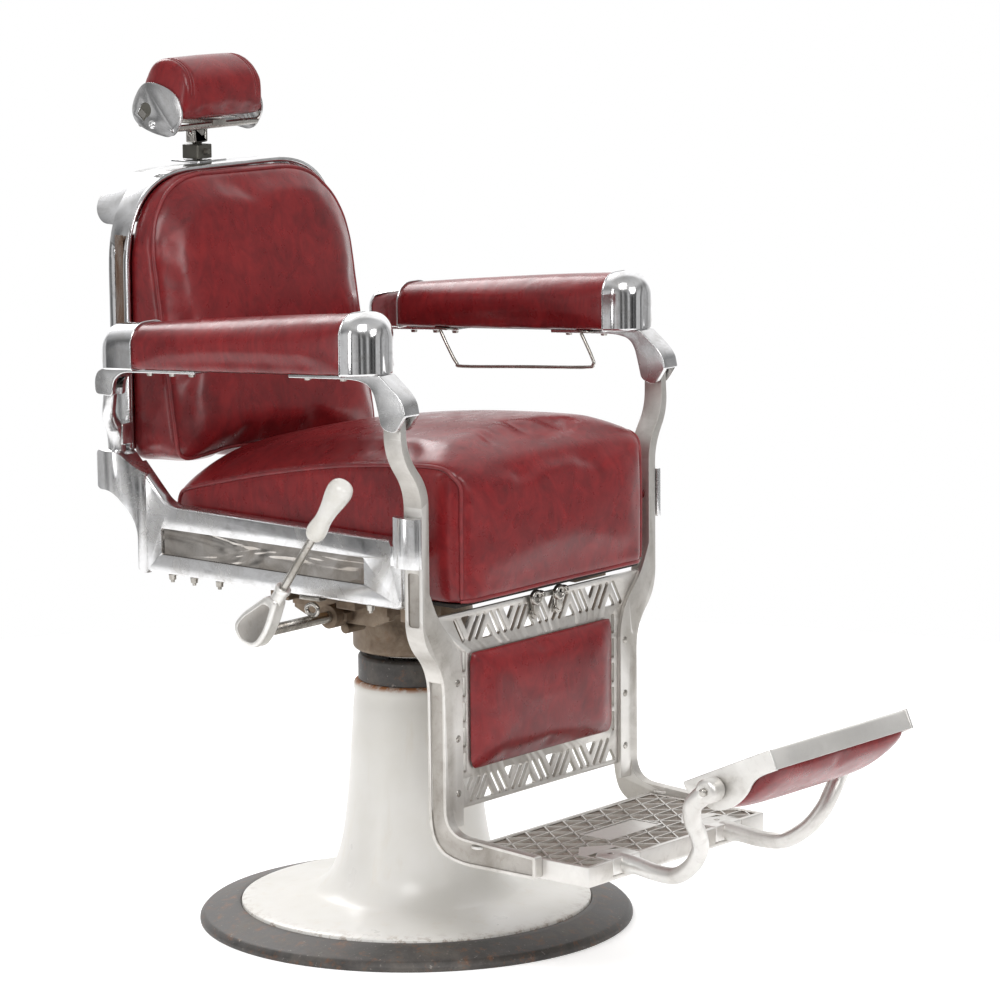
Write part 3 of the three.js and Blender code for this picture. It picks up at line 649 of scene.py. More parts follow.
def soften(profile, rounding=2.0, steps=4):
    """Rounds the corners of an open profile."""
    points = [Vector(p) for p in profile]
    softened = [points[0]]
    for before, corner, after in zip(points, points[1:], points[2:]):
        softened += corner_arc(before, corner, after, rounding, 0.45, steps)
    return [(p.x, p.y) for p in [*softened, points[-1]]]


def smooth_profile(profile, density=3):
    return [(max(p.x, 0.0), p.y) for p in smooth_path([(r, h, 0) for r, h in profile], density=density)]


def settle(made):
    """Applies the object's modifiers to its mesh."""
    bpy.context.view_layer.update()
    graph = bpy.context.evaluated_depsgraph_get()
    mesh = bpy.data.meshes.new_from_object(made.evaluated_get(graph), depsgraph=graph)
    old = made.data
    made.modifiers.clear()
    made.data = mesh
    bpy.data.meshes.remove(old)
    return made


def combine(first, operation, *tools):
    for tool in tools:
        modifier = first.modifiers.new("shape", "BOOLEAN")
        modifier.operation = operation
        modifier.object = tool
        modifier.solver = "EXACT"
    settle(first)
    for tool in tools:
        remove(tool)
    return first


def cut(first, *tools):
    return combine(first, "DIFFERENCE", *tools)


def union(first, *tools):
    return combine(first, "UNION", *tools)


def common(first, *tools):
    return combine(first, "INTERSECT", *tools)


def remove(made):
    mesh = made.data
    bpy.data.objects.remove(made)
    if mesh.users == 0:
        bpy.data.meshes.remove(mesh)


def gather(*pieces):
    """Puts several meshes into one object, without joining their surfaces."""
    bm = bmesh.new()
    materials = list(dict.fromkeys(m for piece in pieces for m in piece.data.materials))
    for piece in pieces:
        start = len(bm.faces)
        bm.from_mesh(piece.data)
        bm.faces.ensure_lookup_table()
        own = list(piece.data.materials)
        for face in bm.faces[start:]:
            if own:
                face.material_index = materials.index(own[min(face.material_index, len(own) - 1)])
        remove(piece)
    mesh = bpy.data.meshes.new("gathered")
    bm.to_mesh(mesh)
    bm.free()
    for slot_material in materials:
        mesh.materials.append(slot_material)
    made = bpy.data.objects.new("gathered", mesh)
    scene.collection.objects.link(made)
    return made


def paint(made, chosen):
    made.data.materials.clear()
    made.data.materials.append(chosen)
    return made


def steel(*pieces):
    return [paint(piece, STEEL) for piece in pieces]


def shade(made, angle=35):
    """Smooth shading that stays sharp across edges over the angle."""
    mesh = made.data
    mesh.polygons.foreach_set("use_smooth", [True] * len(mesh.polygons))
    mesh.set_sharp_from_angle(angle=math.radians(angle))
    return made


def bevel(made, width, segments=3, angle=32):
    modifier = made.modifiers.new("edges", "BEVEL")
    modifier.width = width * MM
    modifier.segments = segments
    modifier.limit_method = "ANGLE"
    modifier.angle_limit = math.radians(angle)
    modifier.use_clamp_overlap = True
    modifier.harden_normals = False
    return settle(made)


def place(made, name, body, chosen=None, nodes=(), angle=35):
    """Names a finished piece, gives it its finish, and puts it on its body."""
    made.name = name
    made.data.name = name
    if chosen is not None:
        paint(made, chosen)
    shade(made, angle)
    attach(made, body)
    if nodes:
        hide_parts(*nodes)
    return made


def mirrored(made):
    twin = bpy.data.objects.new("mirrored", made.data.copy())
    scene.collection.objects.link(twin)
    twin.data.transform(Matrix.Scale(-1, 4, (1, 0, 0)))
    twin.data.flip_normals()
    return twin


def place_pair(made, name, body, chosen=None, nodes=(), angle=35):
    """Places a left piece and its mirror image. body and nodes name the left ones; {side} is filled in."""
    twin = mirrored(made)
    for piece, side in ((made, "left"), (twin, "right")):
        its_nodes = [node.format(side=side) for node in nodes]
        place(piece, f"{name}_{side}", body.format(side=side), chosen, its_nodes, angle)
    return made, twin


def screw_head(middle, normal, radius=5.0, slot_turn=0.6, dome=1.6):
    """A domed head with a slot across it."""
    middle, normal = Vector(middle), Vector(normal).normalized()
    x, y = frame_of(normal)
    rings = []
    steps, crown_radius, sunk = 5, 0.4, 2.0
    for step in range(steps + 1):
        a = 0.5 * math.pi * step / steps
        r = radius * math.cos(a) if step < steps else crown_radius
        rings.append(round_ring(middle + normal * (dome * math.sin(a)), x, y, r, 20))
    rings.insert(0, [p - normal * sunk for p in rings[0]])
    head = loft(rings)
    along = x * math.cos(slot_turn) + y * math.sin(slot_turn)
    across = normal.cross(along)
    long, wide = along * radius * 1.3, across * radius * 0.16
    square = ((-1, -1), (1, -1), (1, 1), (-1, 1))
    lifts = (dome * 0.35, dome + 2)
    slot = [[middle + long * a + wide * b + normal * lift for a, b in square] for lift in lifts]
    return shade(cut(head, loft(slot)), 40)


# ---------------------------------------------------------------- padding

CLOTH = {
    "quality": 6,
    "mass": 0.35,
    "tension_stiffness": 30,
    "compression_stiffness": 30,
    "shear_stiffness": 12,
    "bending_stiffness": 1.5,
    "use_pressure": True,
    "uniform_pressure_force": 4.0,
}
CLOTH_FRAMES = 20


def points_of(mesh):
    points = np.empty(len(mesh.vertices) * 3)
    mesh.vertices.foreach_get("co", points)
    return points.reshape(-1, 3)


def finer(made):
    modifier = made.modifiers.new("finer", "SUBSURF")
    modifier.levels = modifier.render_levels = 1
    return settle(made)


def near_edge(distance, width, least=0.0):
    """Falls from 1 to the least share as the distance to an edge falls under the width."""
    return np.clip(distance / width, least, 1)


def swell(made, voxel, cap, keep, relaxing=7):
    """Stuffs a pad: cloth under pressure. No point moves further than keep(points), 0 to 1, of the cap."""
    remesh = made.modifiers.new("even", "REMESH")
    remesh.mode = "VOXEL"
    remesh.voxel_size = voxel * MM
    settle(made)
    start = points_of(made.data)
    cloth = made.modifiers.new("stuffing", "CLOTH")
    for name, value in CLOTH.items():
        setattr(cloth.settings, name, value)
    cloth.settings.effector_weights.gravity = 0
    cloth.collision_settings.use_collision = False
    cloth.collision_settings.use_self_collision = False
    for number in range(1, CLOTH_FRAMES + 1):
        scene.frame_set(number)
    stuffed = made.evaluated_get(bpy.context.evaluated_depsgraph_get())
    move = points_of(stuffed.to_mesh()) - start
    stuffed.to_mesh_clear()
    made.modifiers.clear()
    scene.frame_set(1)
    length = np.linalg.norm(move, axis=1, keepdims=True)
    limit = cap * MM * keep(start / MM).reshape(-1, 1)
    move *= np.minimum(1.0, limit / np.maximum(length, 1e-9))
    made.data.vertices.foreach_set("co", (start + move).ravel())
    made.data.update()
    relax = made.modifiers.new("relax", "SMOOTH")
    relax.factor = 0.5
    relax.iterations = relaxing
    return finer(made)


def tree_of(made):
    mesh = made.data
    faces = [tuple(p.vertices) for p in mesh.polygons]
    return BVHTree.FromPolygons([v.co.copy() for v in mesh.vertices], faces)


def onto(tree, points, lift):
    """Points moved to the nearest place on a surface, then out by lift millimetres."""
    moved = []
    for point in points:
        near, normal, _, _ = tree.find_nearest(Vector(point) * MM)
        moved.append(near / MM + normal * lift)
    return moved


def piping(tree, points, radius, closed=False, density=3, lift=0.8):
    path = smooth_path(points, closed, density)
    return shade(paint(tube(onto(tree, path, lift), radius, 12, closed, 2), PIPING), 60)


def pinch(made, points, depth, width, closed=False):
    """Pulls the surface in along a seam."""
    path = np.array([tuple(p) for p in smooth_path(points, closed, 6)])
    mesh = made.data
    here = points_of(mesh)
    normals = np.array([tuple(v.normal) for v in mesh.vertices])
    near = np.full(len(here), 1e9)
    chunk = 60
    for start in range(0, len(path), chunk):
        some = path[start : start + chunk] * MM
        near = np.minimum(near, np.linalg.norm(here[:, None] - some[None], axis=2).min(1))
    share = np.exp(-((near / (width * MM)) ** 2))
    mesh.vertices.foreach_set("co", (here - normals * (share * depth * MM)[:, None]).ravel())
    mesh.update()


def both_sides(points):
    return [points, [(-x, y, z) for x, y, z in points]]


def to_both_ends(rings):
    """Rings from one end to the middle at x = 0, and on to the other end."""
    return rings + [[(-x, y, z) for x, y, z in ring] for ring in reversed(rings[:-1])]


def ring_at(y, half, bottom, top, round_top, round_bottom, middle, steps=9):
    """A rounded section in the XZ plane, with the same count of points at any size."""

    def corner(cx, cz, radius, start):
        angles = [start + 0.5 * math.pi * i / steps for i in range(steps + 1)]
        return [(middle + cx + radius * math.cos(a), y, cz + radius * math.sin(a)) for a in angles]

    rt = min(round_top, half * 0.98, (top - bottom) * 0.6)
    rb = min(round_bottom, half * 0.9, (top - bottom) * 0.35)
    points = corner(half - rt, top - rt, rt, 0)
    points += [(middle + t * (half - rt), y, top) for t in (0.5, 0.0, -0.5)]
    points += corner(-(half - rt), top - rt, rt, 0.5 * math.pi)
    points += corner(-(half - rb), bottom + rb, rb, math.pi)
    points += [(middle + t * (half - rb), y, bottom) for t in (-0.5, 0.0, 0.5)]
    points += corner(half - rb, bottom + rb, rb, 1.5 * math.pi)
    return points


# ---------------------------------------------------------------- pedestal

RING_FOOT = [(250, 0), (317.5, 0), (317.5, 7), (311, 14), (266, 26.5), (257.2, 27), (257.2, 10), (250, 10)]
COLUMN_FLARE = [(256.5, 27), (250, 31.5), (200, 37.5), (165, 42), (149, 46), (135, 57), (123, 73), (115, 92)]
COLUMN_NECK = [(109, 112), (104, 140), (99, 180), (94.5, 235), (88.5, 325)]
COLUMN_LIP = [
    *((86.6, 338), (87.6, 343), (87.8, 348), (86.8, 352)),
    *((84, 355), (80, 356), (62, 356), (61.5, 350)),
]
COLUMN_INSIDE = [(61.5, 120), (87, 70), (150, 30), (236, 22), (240, 10.3), (256.5, 10.3)]


def pedestal():
    profile = soften(RING_FOOT, 2.5)
    place(turned(profile + [profile[0]], 192), "iron_ring", "base", RING, ["base_ring"], 50)
    curve = smooth_path([(r, h, 0) for r, h in COLUMN_FLARE + COLUMN_NECK], density=5)
    side = [(p.x, p.y) for p in curve]
    profile = [(256.5, 10.3), (256.6, 20)] + side + COLUMN_LIP + COLUMN_INSIDE
    place(turned(profile, 192), "enamelled_column", "base", ENAMEL, ["base_casting"], 50)
    collar = soften([(41, 356.3), (81, 356.3), (81, 390), (78, 394), (70, 394), (70, 386), (41, 386)], 1.6)
    made = turned(collar + [collar[0]], 96)
    facing = Vector((-0.42, -0.91, 0)).normalized()
    middle = Vector((0, 0, 379))
    hole = rod(facing * 70 + middle, facing * 90 + middle, 3.4)
    place(cut(made, hole), "dark_collar", "base", RING, ["gland_collar"], 45)
    ram = soften([(0, 60), (44.5, 60), (44.5, 84), (40, 87), (40, 396), (66, 396), (66, 401), (0, 401)], 1.2)
    place(turned(ram, 96), "ram_bar", "ram", STEEL, ["ram"], 40)
    cylinder = soften([(0, 5.3), (58, 5.3), (58, 340), (45, 340), (45, 24), (0, 24)], 1.0)
    place(turned(cylinder, 96), "cylinder_tube", "base", STEEL, ["hydraulic_cylinder"], 40)


# ---------------------------------------------------------------- seat frame


def hub():
    boss = soften([(0, 401.5), (84, 401.5), (88, 405.5), (88, 446), (84, 484), (0, 484)], 3)
    body = turned(boss, 128)
    plate = block((-160, 160), (-90, 90), (480, 497))
    rib = [(-90, 480), (90, 480), (90, 474), (60, 462), (-60, 462), (-90, 474)]
    body = union(body, plate, *[slab(rib, "x", x, x + 12) for x in (-156, 144)])
    seat = turned([(0, 396.5), (62.3, 396.5), (62.3, 408.5), (0, 408.5)], 96)
    shaft = pin(LEVER_AXIS, 14, (-200, -42))
    plunger = rod((-62, -8, 400), (-62, -8, 474), 9)
    body = bevel(cut(body, seat, shaft, plunger), 2.0, 3, 40)
    place(body, "hub", "seat_frame", HUB, ["hub_casting"], 40)
    for name, y in (("front", (-80, -45)), ("rear", (45, 80))):
        bar = bevel(block((-218, 218), y, (497.3, 511.7)), 1.5)
        place(bar, f"cross_bar_{name}", "seat_frame", HUB, [f"cross_member_{name}"])
    collar = union(pin(LEVER_AXIS, 17, (-185, -161)), block((-170, -94), (-22, 22), (468, 479.7)))
    collar = bevel(cut(collar, pin(LEVER_AXIS, 8.3, (-200, -80))), 1.5)
    stub = rod((-150, 0, 452), (-112, 0, 452), 8)
    shank = rod((-131, 0, 452), (-131, 0, 470), 6)
    bracket = gather(collar, bevel(stub, 1.5), shank)
    place(bracket, "lever_bracket", "seat_frame", HUB, ["pump_bracket"])


def rail_outline(rear_top):
    foot = [(-189, 512, 16), (308, 512, 9), (308, 592, 32), (338, 628, 18), (378, 632, 14)]
    return rounded([*foot, *rear_top, (334, 692, 12), (258, 616, 18), (-189, 612, 9)], 10)


def rail_casting():
    beam = pillow(rail_outline([(378, 670, 12), (364, 690, 10)]), RAIL_INNER, RAIL_OUTER, 5.8, 15)
    outer = [(230, 300), (244, 300, 14), (262, 320, 14), (270, 348, 18), (263, 378, 5)]
    plan = rounded([*outer, (253.5, 378), (253.5, 327), (230, 327)], 10)
    rear_ear = pillow(rail_outline([(378, 692, 16)]), RAIL_INNER, 272, 9, 14)
    rear_ear = common(slab(plan, "z", 500, 700), rear_ear)
    ear = rounded([(263, -200, 2), (263, -246, 3), (273, -246, 8), (281, -222, 18), (273, -198, 8)], 8)
    front_ear = slab(ear, "z", 582, 652)
    tie = slab([(228, -207), (275, -207), (275, -198), (240, -164), (228, -164)], "z", 584, 611)
    ledge = block((200, 224), (-185, 300), (512, 518))
    rear_pin = pin(REAR_PIVOT, 9, (239, 254.5))
    front_pin = pin(FRONT_PIVOT, 9, (247, 264))
    rail = union(beam, rear_ear, front_ear, tie, ledge, rear_pin, front_pin)
    window = slab(box_outline((-118, 272), (542, 581), 3), "x", 234.6, 242)
    hollow = block((221, 229), (-180, 250), (524, 606))
    relief = block((221, 229), (316, 400), (640, 700))
    rail = bevel(rail, 1.6, 3, 40)
    return bevel(cut(rail, window, hollow, relief), 1.0, 2, 60)


def side_rails():
    place_pair(rail_casting(), "rail", "seat_frame", POLISHED, ["side_rail_{side}"], 38)
    insert = slab(box_outline((-117.6, 271.6), (542.4, 580.6), 3), "x", 234.9, 236.4)
    place_pair(insert, "insert", "seat_frame", MIRROR, ["rail_insert_{side}"])
    heads = []
    for y in (262, 219, 169, -119):
        for high, low, radius, end_radius, sides in ((512.5, 505, 6, 5.2, 20), (506, 501, 3.2, 2.8, 16)):
            head = rod((228, y, high), (228, y, low), radius, end_radius, sides)
            heads.append(shade(paint(head, STEEL), 30))
    place_pair(gather(*heads), "rail_bolts", "seat_frame", STEEL, (), 40)
    flange = bevel(block((150, 222), (-182, -168), (493, 520)), 1.5)
    place_pair(flange, "front_flange", "seat_frame", HUB)
    foot = slab([(-26, 506), (12, 506), (12, 511.7), (-26, 511.7)], "x", -232, -216)
    bend = [(-7, 484), (2, 486), (4, 495), (-7, 500), (-16, 495), (-15, 487)]
    eye = tube([(-224.5, y, z) for y, z in bend], 3.2, 12, True)
    place(gather(bevel(foot, 1), eye), "rail_eye", "seat_frame", STEEL, ["eye_bracket"], 50)


SEAT_BOTTOM = 525
SEAT_STATIONS = [
    # y, half width, height of the piped edge, crown above it
    (276, 196, 606, 6),
    (272, 204, 628, 26),
    (262, 208, 634, 38),
    (240, 210, 641, 44),
    (200, 211, 651, 42),
    (150, 211.5, 663, 43),
    (100, 212, 674, 42),
    (50, 212, 684, 40),
    (0, 212, 693, 38),
    (-50, 212, 701, 35),
    (-100, 212, 707, 32),
    (-150, 212, 712, 29),
    (-190, 212, 715, 27),
    (-220, 212, 716, 26),
    (-238, 212, 715, 23),
    (-252, 209, 710, 18),
    (-262, 202, 702, 16),
    (-268, 194, 692, 10),
    (-271.5, 185, 679, 5),
    (-273, 174, 664, 3),
]


def seat_ring(y, half, edge, crown):
    """One section of the seat cushion before it is stuffed: crown, side, underside, side."""
    steps, side_steps, side_bulge = 26, 8, 2.5
    ring = []
    for i in range(steps + 1):
        u = 1 - 2 * i / steps
        ring.append((u * half, y, edge + crown * (1 - abs(u) ** 2.6) ** 0.8))
    for i in range(1, side_steps):
        t = i / side_steps
        bulge = side_bulge * math.sin(math.pi * t)
        ring.append((-half - bulge, y, edge + (SEAT_BOTTOM - edge) * t))
    for i in range(steps + 1):
        u = -1 + 2 * i / steps
        ring.append((u * (half - 1), y, SEAT_BOTTOM))
    for i in range(1, side_steps):
        t = 1 - i / side_steps
        bulge = side_bulge * math.sin(math.pi * t)
        ring.append((half + bulge, y, edge + (SEAT_BOTTOM - edge) * t))
    return ring


def seat_shell():
    """The seat cushion before it is stuffed; its front wall is the last section drawn in, crowned forward."""
    rings = [seat_ring(*station) for station in SEAT_STATIONS]
    last = rings[-1]
    for share in (0.93, 0.82, 0.64, 0.40, 0.15):
        forward = 8.0 * (1 - share * share)
        rings.append([(x * share, y - forward, 600 + (z - 600) * share) for x, y, z in last])
    return loft(rings)


SEAT_EDGE_X = -210.5
SEAT_EDGE = [
    *((274, 612), (262, 634), (240, 641), (200, 651), (150, 663), (100, 674), (50, 684), (0, 693)),
    *((-50, 701), (-100, 707), (-150, 712), (-190, 715), (-222, 716), (-244, 713), (-256, 705)),
]


def seat_cushion():
    made = seat_shell()

    def keep(points):
        low = near_edge(points[:, 2] - 526, 30)
        side = near_edge(214 - np.abs(points[:, 0]), 60, 0.1)
        front = near_edge(points[:, 1] + 300, 60, 0.35)
        return low * side * front

    swell(made, 5.5, 9, keep, relaxing=14)
    corner = [(-202, -264, z) for z in (688, 650, 610, 570, 532)]
    lines = both_sides([(SEAT_EDGE_X, y, z) for y, z in SEAT_EDGE] + corner)
    for line in lines:
        pinch(made, line, 1.6, 5)
    tree = tree_of(made)
    rear = [(x, 275, 612 + 14 * (1 - (x / 210) ** 2)) for x in range(-205, 206, 41)]
    hem = [(-202, -262), (-170, -273), (-85, -276), (0, -277), (85, -276), (170, -273), (202, -262)]
    cords = [piping(tree, line, 3.0) for line in (*lines, rear)]
    cords.append(piping(tree, [(x, y, 527) for x, y in hem], 2.6))
    place(made, "seat_pad", "seat_frame", VINYL, ["seat_cushion"], 60)
    place(gather(*cords), "seat_piping", "seat_frame", angle=60)
    base = bevel(block((-204, 204), (-255, 262), (519, 524.5)), 1)
    place(base, "seat_underside", "seat_frame", LINING)


# ---------------------------------------------------------------- pump lever

LEVER_LEAN = math.atan2(113, 156)
LEVER_ALONG = Vector((0, -math.sin(LEVER_LEAN), math.cos(LEVER_LEAN)))
LEVER_ASIDE = Vector((0, math.cos(LEVER_LEAN), math.sin(LEVER_LEAN)))
# (distance along, aside, rounding) round the lever's blade, and round its sunk face
BLADE = [(-26, 12, 14), (-16, 35, 12), (8, 34, 18), (64, 12, 8), (70, -8, 8), (24, -20, 26), (-14, -18, 16)]
BLADE_FACE = [(-19, 11, 10), (-11, 28, 9), (8, 27, 14), (52, 9, 5), (56, -4, 5), (22, -13, 20), (-8, -11, 12)]
KNOB_PROFILE = [
    *((0, 0), (5, 0.3), (8.6, 2), (12, 6), (14, 12), (14.4, 18), (13.4, 26), (12.2, 36), (12.6, 48)),
    *((14.6, 62), (17, 75), (18.3, 86), (17.6, 94), (14.8, 100), (10, 103.2), (5, 104.2), (0, 104.5)),
]


def along_lever(distance):
    return Vector((-332.0, *LEVER_AXIS)) + LEVER_ALONG * distance


def blade_outline(spots):
    places = [(along_lever(distance) + LEVER_ASIDE * aside, rounding) for distance, aside, rounding in spots]
    return rounded([(at.y, at.z, rounding) for at, rounding in places], 8)


def pump_lever():
    cam = pin((-8, 474), 5, (-76, -46))
    shaft = union(pin(LEVER_AXIS, 8, (-317.7, -76)), pin(LEVER_AXIS, 13, (-80, -74)), cam)
    place(bevel(shaft, 0.8, 2), "shaft", "pump_lever", STEEL, ["lever_shaft"])
    blade = bevel(slab(blade_outline(BLADE), "x", -345, -320), 5, 4)
    blade = bevel(cut(blade, slab(blade_outline(BLADE_FACE), "x", -348, -344.4)), 0.3, 2)
    boss = pin(LEVER_AXIS, 9, (-342.5, -330))
    socket = bevel(shade(rod(along_lever(52), along_lever(88), 11, 9.5)), 1.5)
    ring = shade(rod(along_lever(80), along_lever(88), 11.5, 11.5))
    casting = gather(blade, boss, socket, bevel(ring, 1.5, 3))
    place(casting, "lever_casting", "pump_lever", SATIN, ["lever_arm"], 40)
    bar = rod(along_lever(80), along_lever(198), 6)
    place(bar, "rod_bar", "pump_lever", STEEL, ["lever_rod"])
    knob = turned(smooth_profile(KNOB_PROFILE), 48)
    knob.data.transform(Matrix.Rotation(LEVER_LEAN, 4, "X"))
    knob.data.transform(Matrix.Translation(along_lever(179) * MM))
    place(knob, "handle", "pump_lever", KNOB, ["lever_knob"], 60)


# ---------------------------------------------------------------- back

BACK_HALF, BACK_TOP, BACK_CORNER = 227, 1088, 140
# The cushion's face leans back by this much for each millimetre above its foot
BACK_FOOT, BACK_LEAN = 672, 0.152


def back_outline(drawn_in, bottom=676.0):
    half, top, corner = BACK_HALF - drawn_in, BACK_TOP - drawn_in, BACK_CORNER - drawn_in
    return rounded([(-half, bottom), (half, bottom), (half, top, corner), (-half, top, corner)], 18)


def back_frame():
    hoop = cut(slab(back_outline(0), "y", 340, 378), slab(back_outline(5, 660), "y", 339, 379))
    recess = [block((x, x + 4), (349, 366), (706, 1000)) for x in (225, -229)]
    hoop = bevel(cut(hoop, *recess), 1.2, 3, 40)
    place(hoop, "hoop", "back", CHROME, ["back_frame"], 40)
    strips = [block((x, x + 0.8), (349.4, 365.6), (706.5, 999.5)) for x in (225.3, -226.1)]
    place(gather(*strips), "hoop_strips", "back", TARNISHED)
    beads = []
    for y, radius in ((343, 3.6), (376, 2.8)):
        path = [(p.x, y, p.y) for p in back_outline(3.2)]
        beads.append(tube([*path[1:], path[0]], radius, 12, False, 1))
    place(gather(*beads), "hoop_beads", "back", CHROME, (), 60)
    rear = [(404, 1013, 18), (427, 1036, 28), (427, 1074, 24), (402, 1087, 20)]
    side = slab(rounded([(378.3, 1012), *rear, (378.3, 1087)], 12), "x", -221, 221)
    plan = slab(rounded([(-221, 370), (221, 370), (221, 428, 44), (-221, 428, 44)], 14), "z", 980, 1100)
    roll = common(side, plan, slab(back_outline(2.5), "y", 360, 440))
    roll = bevel(cut(roll, rod((0, 413, 1040), (0, 413, 1100), 7.5)), 5, 5, 30)
    place(roll, "crown_roll", "back", CHROME, ["back_crown"], 40)


def drawn_to(outline, middle, share):
    """The outline drawn towards its middle."""
    return [(middle[0] + (p[0] - middle[0]) * share, middle[1] + (p[1] - middle[1]) * share) for p in outline]


def back_panel():
    """The upholstered rear of the back: a shallow crowned panel, piped round its edge."""
    outline = back_outline(7, 682)
    steps = ((1.0, 366), (1.0, 371), (0.985, 374), (0.94, 376.5), (0.8, 379), (0.55, 380.5), (0.25, 381))
    made = loft([[(x, y, z) for x, z in drawn_to(outline, (0, 860), share)] for share, y in steps])
    made = common(made, block((-230, 230), (300, 400), (600, 996)))
    place(made, "rear_panel", "back", VINYL, ["back_panel"], 60)
    edge = sorted(((p.x, 375, p.y) for p in outline if p.y < 996 and p.x > 0), key=lambda p: p[2])
    cords = [tube(side, 2.6, 10, False, 1) for side in both_sides(edge)]
    cords.append(tube([(-216, 375, 685), (0, 375, 685), (216, 375, 685)], 2.6, 10))
    place(gather(*[paint(cord, PIPING) for cord in cords]), "rear_piping", "back", angle=60)


BACK_SECTIONS = [
    # share of the outline, y at the foot, share of the lean
    (0.965, 349, 0.0),
    (0.995, 347, 0.0),
    (1.005, 338, 0.12),
    (1.0, 300, 0.6),
    (1.0, 272, 0.9),
    (0.995, 258, 1.0),
    (0.97, 251.5, 1.0),
    (0.90, 247, 1.0),
    (0.72, 241, 1.0),
    (0.45, 238, 1.0),
    (0.18, 237, 1.0),
]
BACK_MIDDLE = 872
# The cushion sits a little askew: its height falls across the chair
BACK_SHEAR = 0.022


def back_ring(outline, share, depth, lean):
    ring = []
    for p in outline:
        x = p.x * share
        z = BACK_MIDDLE + (p.y - BACK_MIDDLE) * share
        sag = -BACK_SHEAR * x * min(1.0, (349 - depth) / 60)
        ring.append((x, depth + (z - BACK_FOOT) * BACK_LEAN * lean, z + sag))
    return ring


def seam_point(p):
    y = 262 + (p.y - BACK_FOOT) * BACK_LEAN - 6
    return (p.x * 0.995, y, BACK_MIDDLE + (p.y - BACK_MIDDLE) * 0.995 - BACK_SHEAR * p.x)


def back_cushion():
    """The back cushion: a boxed pad whose crowned face leans back, with rounded top corners."""
    outline = rounded([(-219, 668, 26), (219, 668, 26), (215, 1082, 134), (-215, 1082, 134)], 16)
    made = loft([back_ring(outline, *section) for section in BACK_SECTIONS])

    def keep(points):
        rear = near_edge(345 - points[:, 1], 40)
        side = near_edge(218 - np.abs(points[:, 0]), 40, 0.1)
        top = near_edge(1086 - points[:, 2], 40, 0.1)
        return rear * side * top

    swell(made, 5.5, 12, keep, relaxing=14)
    front = [seam_point(p) for p in dense(outline[::2])]
    pinch(made, front, 1.8, 5, True)
    cord = piping(tree_of(made), front, 3.0, True, 2)
    place(made, "back_pad", "back", VINYL, ["back_cushion"], 60)
    place(cord, "back_piping", "back", PIPING, (), 60)


def back_brackets():
    lower = [(270, 339, 738), (254, 348, 724), (247, 350, 700), (246.5, 350, 666)]
    path = [(288, 320, 788), (288, 322, 770), (284, 328, 752), *lower]
    strap = shade(tube(path, [10.5, 10, 10, 11, 12.5, 13.5, 14], 20), 60)
    casting = union(pin(REAR_PIVOT, 16, (241, 252)), block((227.3, 252), (335, 364), (697, 729)))
    plate = bevel(block((227.3, 232.3), (338, 368), (690, 800)), 1.2, 2)
    casting = bevel(cut(casting, pin(REAR_PIVOT, 9.4, (230, 260))), 4.0, 4, 40)
    for piece in (strap, plate, casting):
        paint(piece, POLISHED)
    low = screw_head((252, 350, 713), (1, 0, 0), 6, 0.9, 1.8)
    high = screw_head((233.4, 354, 785), (1, 0, 0), 4.5, 0.3, 1.4)
    bracket = gather(casting, *steel(low, high), strap, plate)
    place_pair(bracket, "bracket", "back", None, ["back_bracket_{side}"])


# ---------------------------------------------------------------- headrest


def headrest():
    plate = slab(rounded([(-31, 381, 3), (31, 381, 3), (31, 440, 5), (-31, 440, 5)]), "z", 1086.2, 1089.2)
    plate = bevel(cut(plate, rod((0, 413, 1080), (0, 413, 1095), 7.5)), 0.7, 2)
    place(plate, "crown_plate", "back", CHROME, ["headrest_plate"])
    clamp = slab(box_outline((-16, 16), (397, 429), 3), "z", 1090.3, 1111)
    clamp = bevel(cut(clamp, rod((0, 413, 1085), (0, 413, 1120), 7.3)), 2.4, 2)
    screw = rod((0, 397, 1101), (0, 389, 1101), 5, 4.4, 6)
    place(gather(clamp, screw), "stem_clamp", "back", BLACK, ["headrest_clamp"])
    y, z = HEAD_PIVOT
    post = rod((0, y, 1036), (0, y, z - 12), 7)
    gap = block((-8.3, 8.3), (y - 10, y + 10), (z - 10, z + 20))
    fork = cut(block((-15, 15), (y - 9, y + 9), (z - 14, z + 9)), gap)
    stem = bevel(union(post, fork, pin(HEAD_PIVOT, 3.5, (-12, 12))), 2.2, 3)
    heads = [screw_head((s * 15, y, z), (s, 0, 0), 5, 0.5, 2) for s in (1, -1)]
    place(gather(*steel(stem, *heads)), "stem", "headrest_stem", None, ["headrest_stem"])
    lug = slab(link(HEAD_PIVOT, 8, (y, z + 18), 8), "x", -8, 8)
    saddle = block((-14, 14), (366, 452), (z + 14, z + 22))
    bars = [pin(spot, 5, (-84.7, 84.7)) for spot in ((372, z + 14), (446, z + 18))]
    yoke = bevel(cut(union(lug, saddle, *bars), pin(HEAD_PIVOT, 3.9, (-20, 20))), 1.2, 2)
    place(yoke, "yoke", "headrest", STEEL, ["headrest_yoke"])
    end_plate()


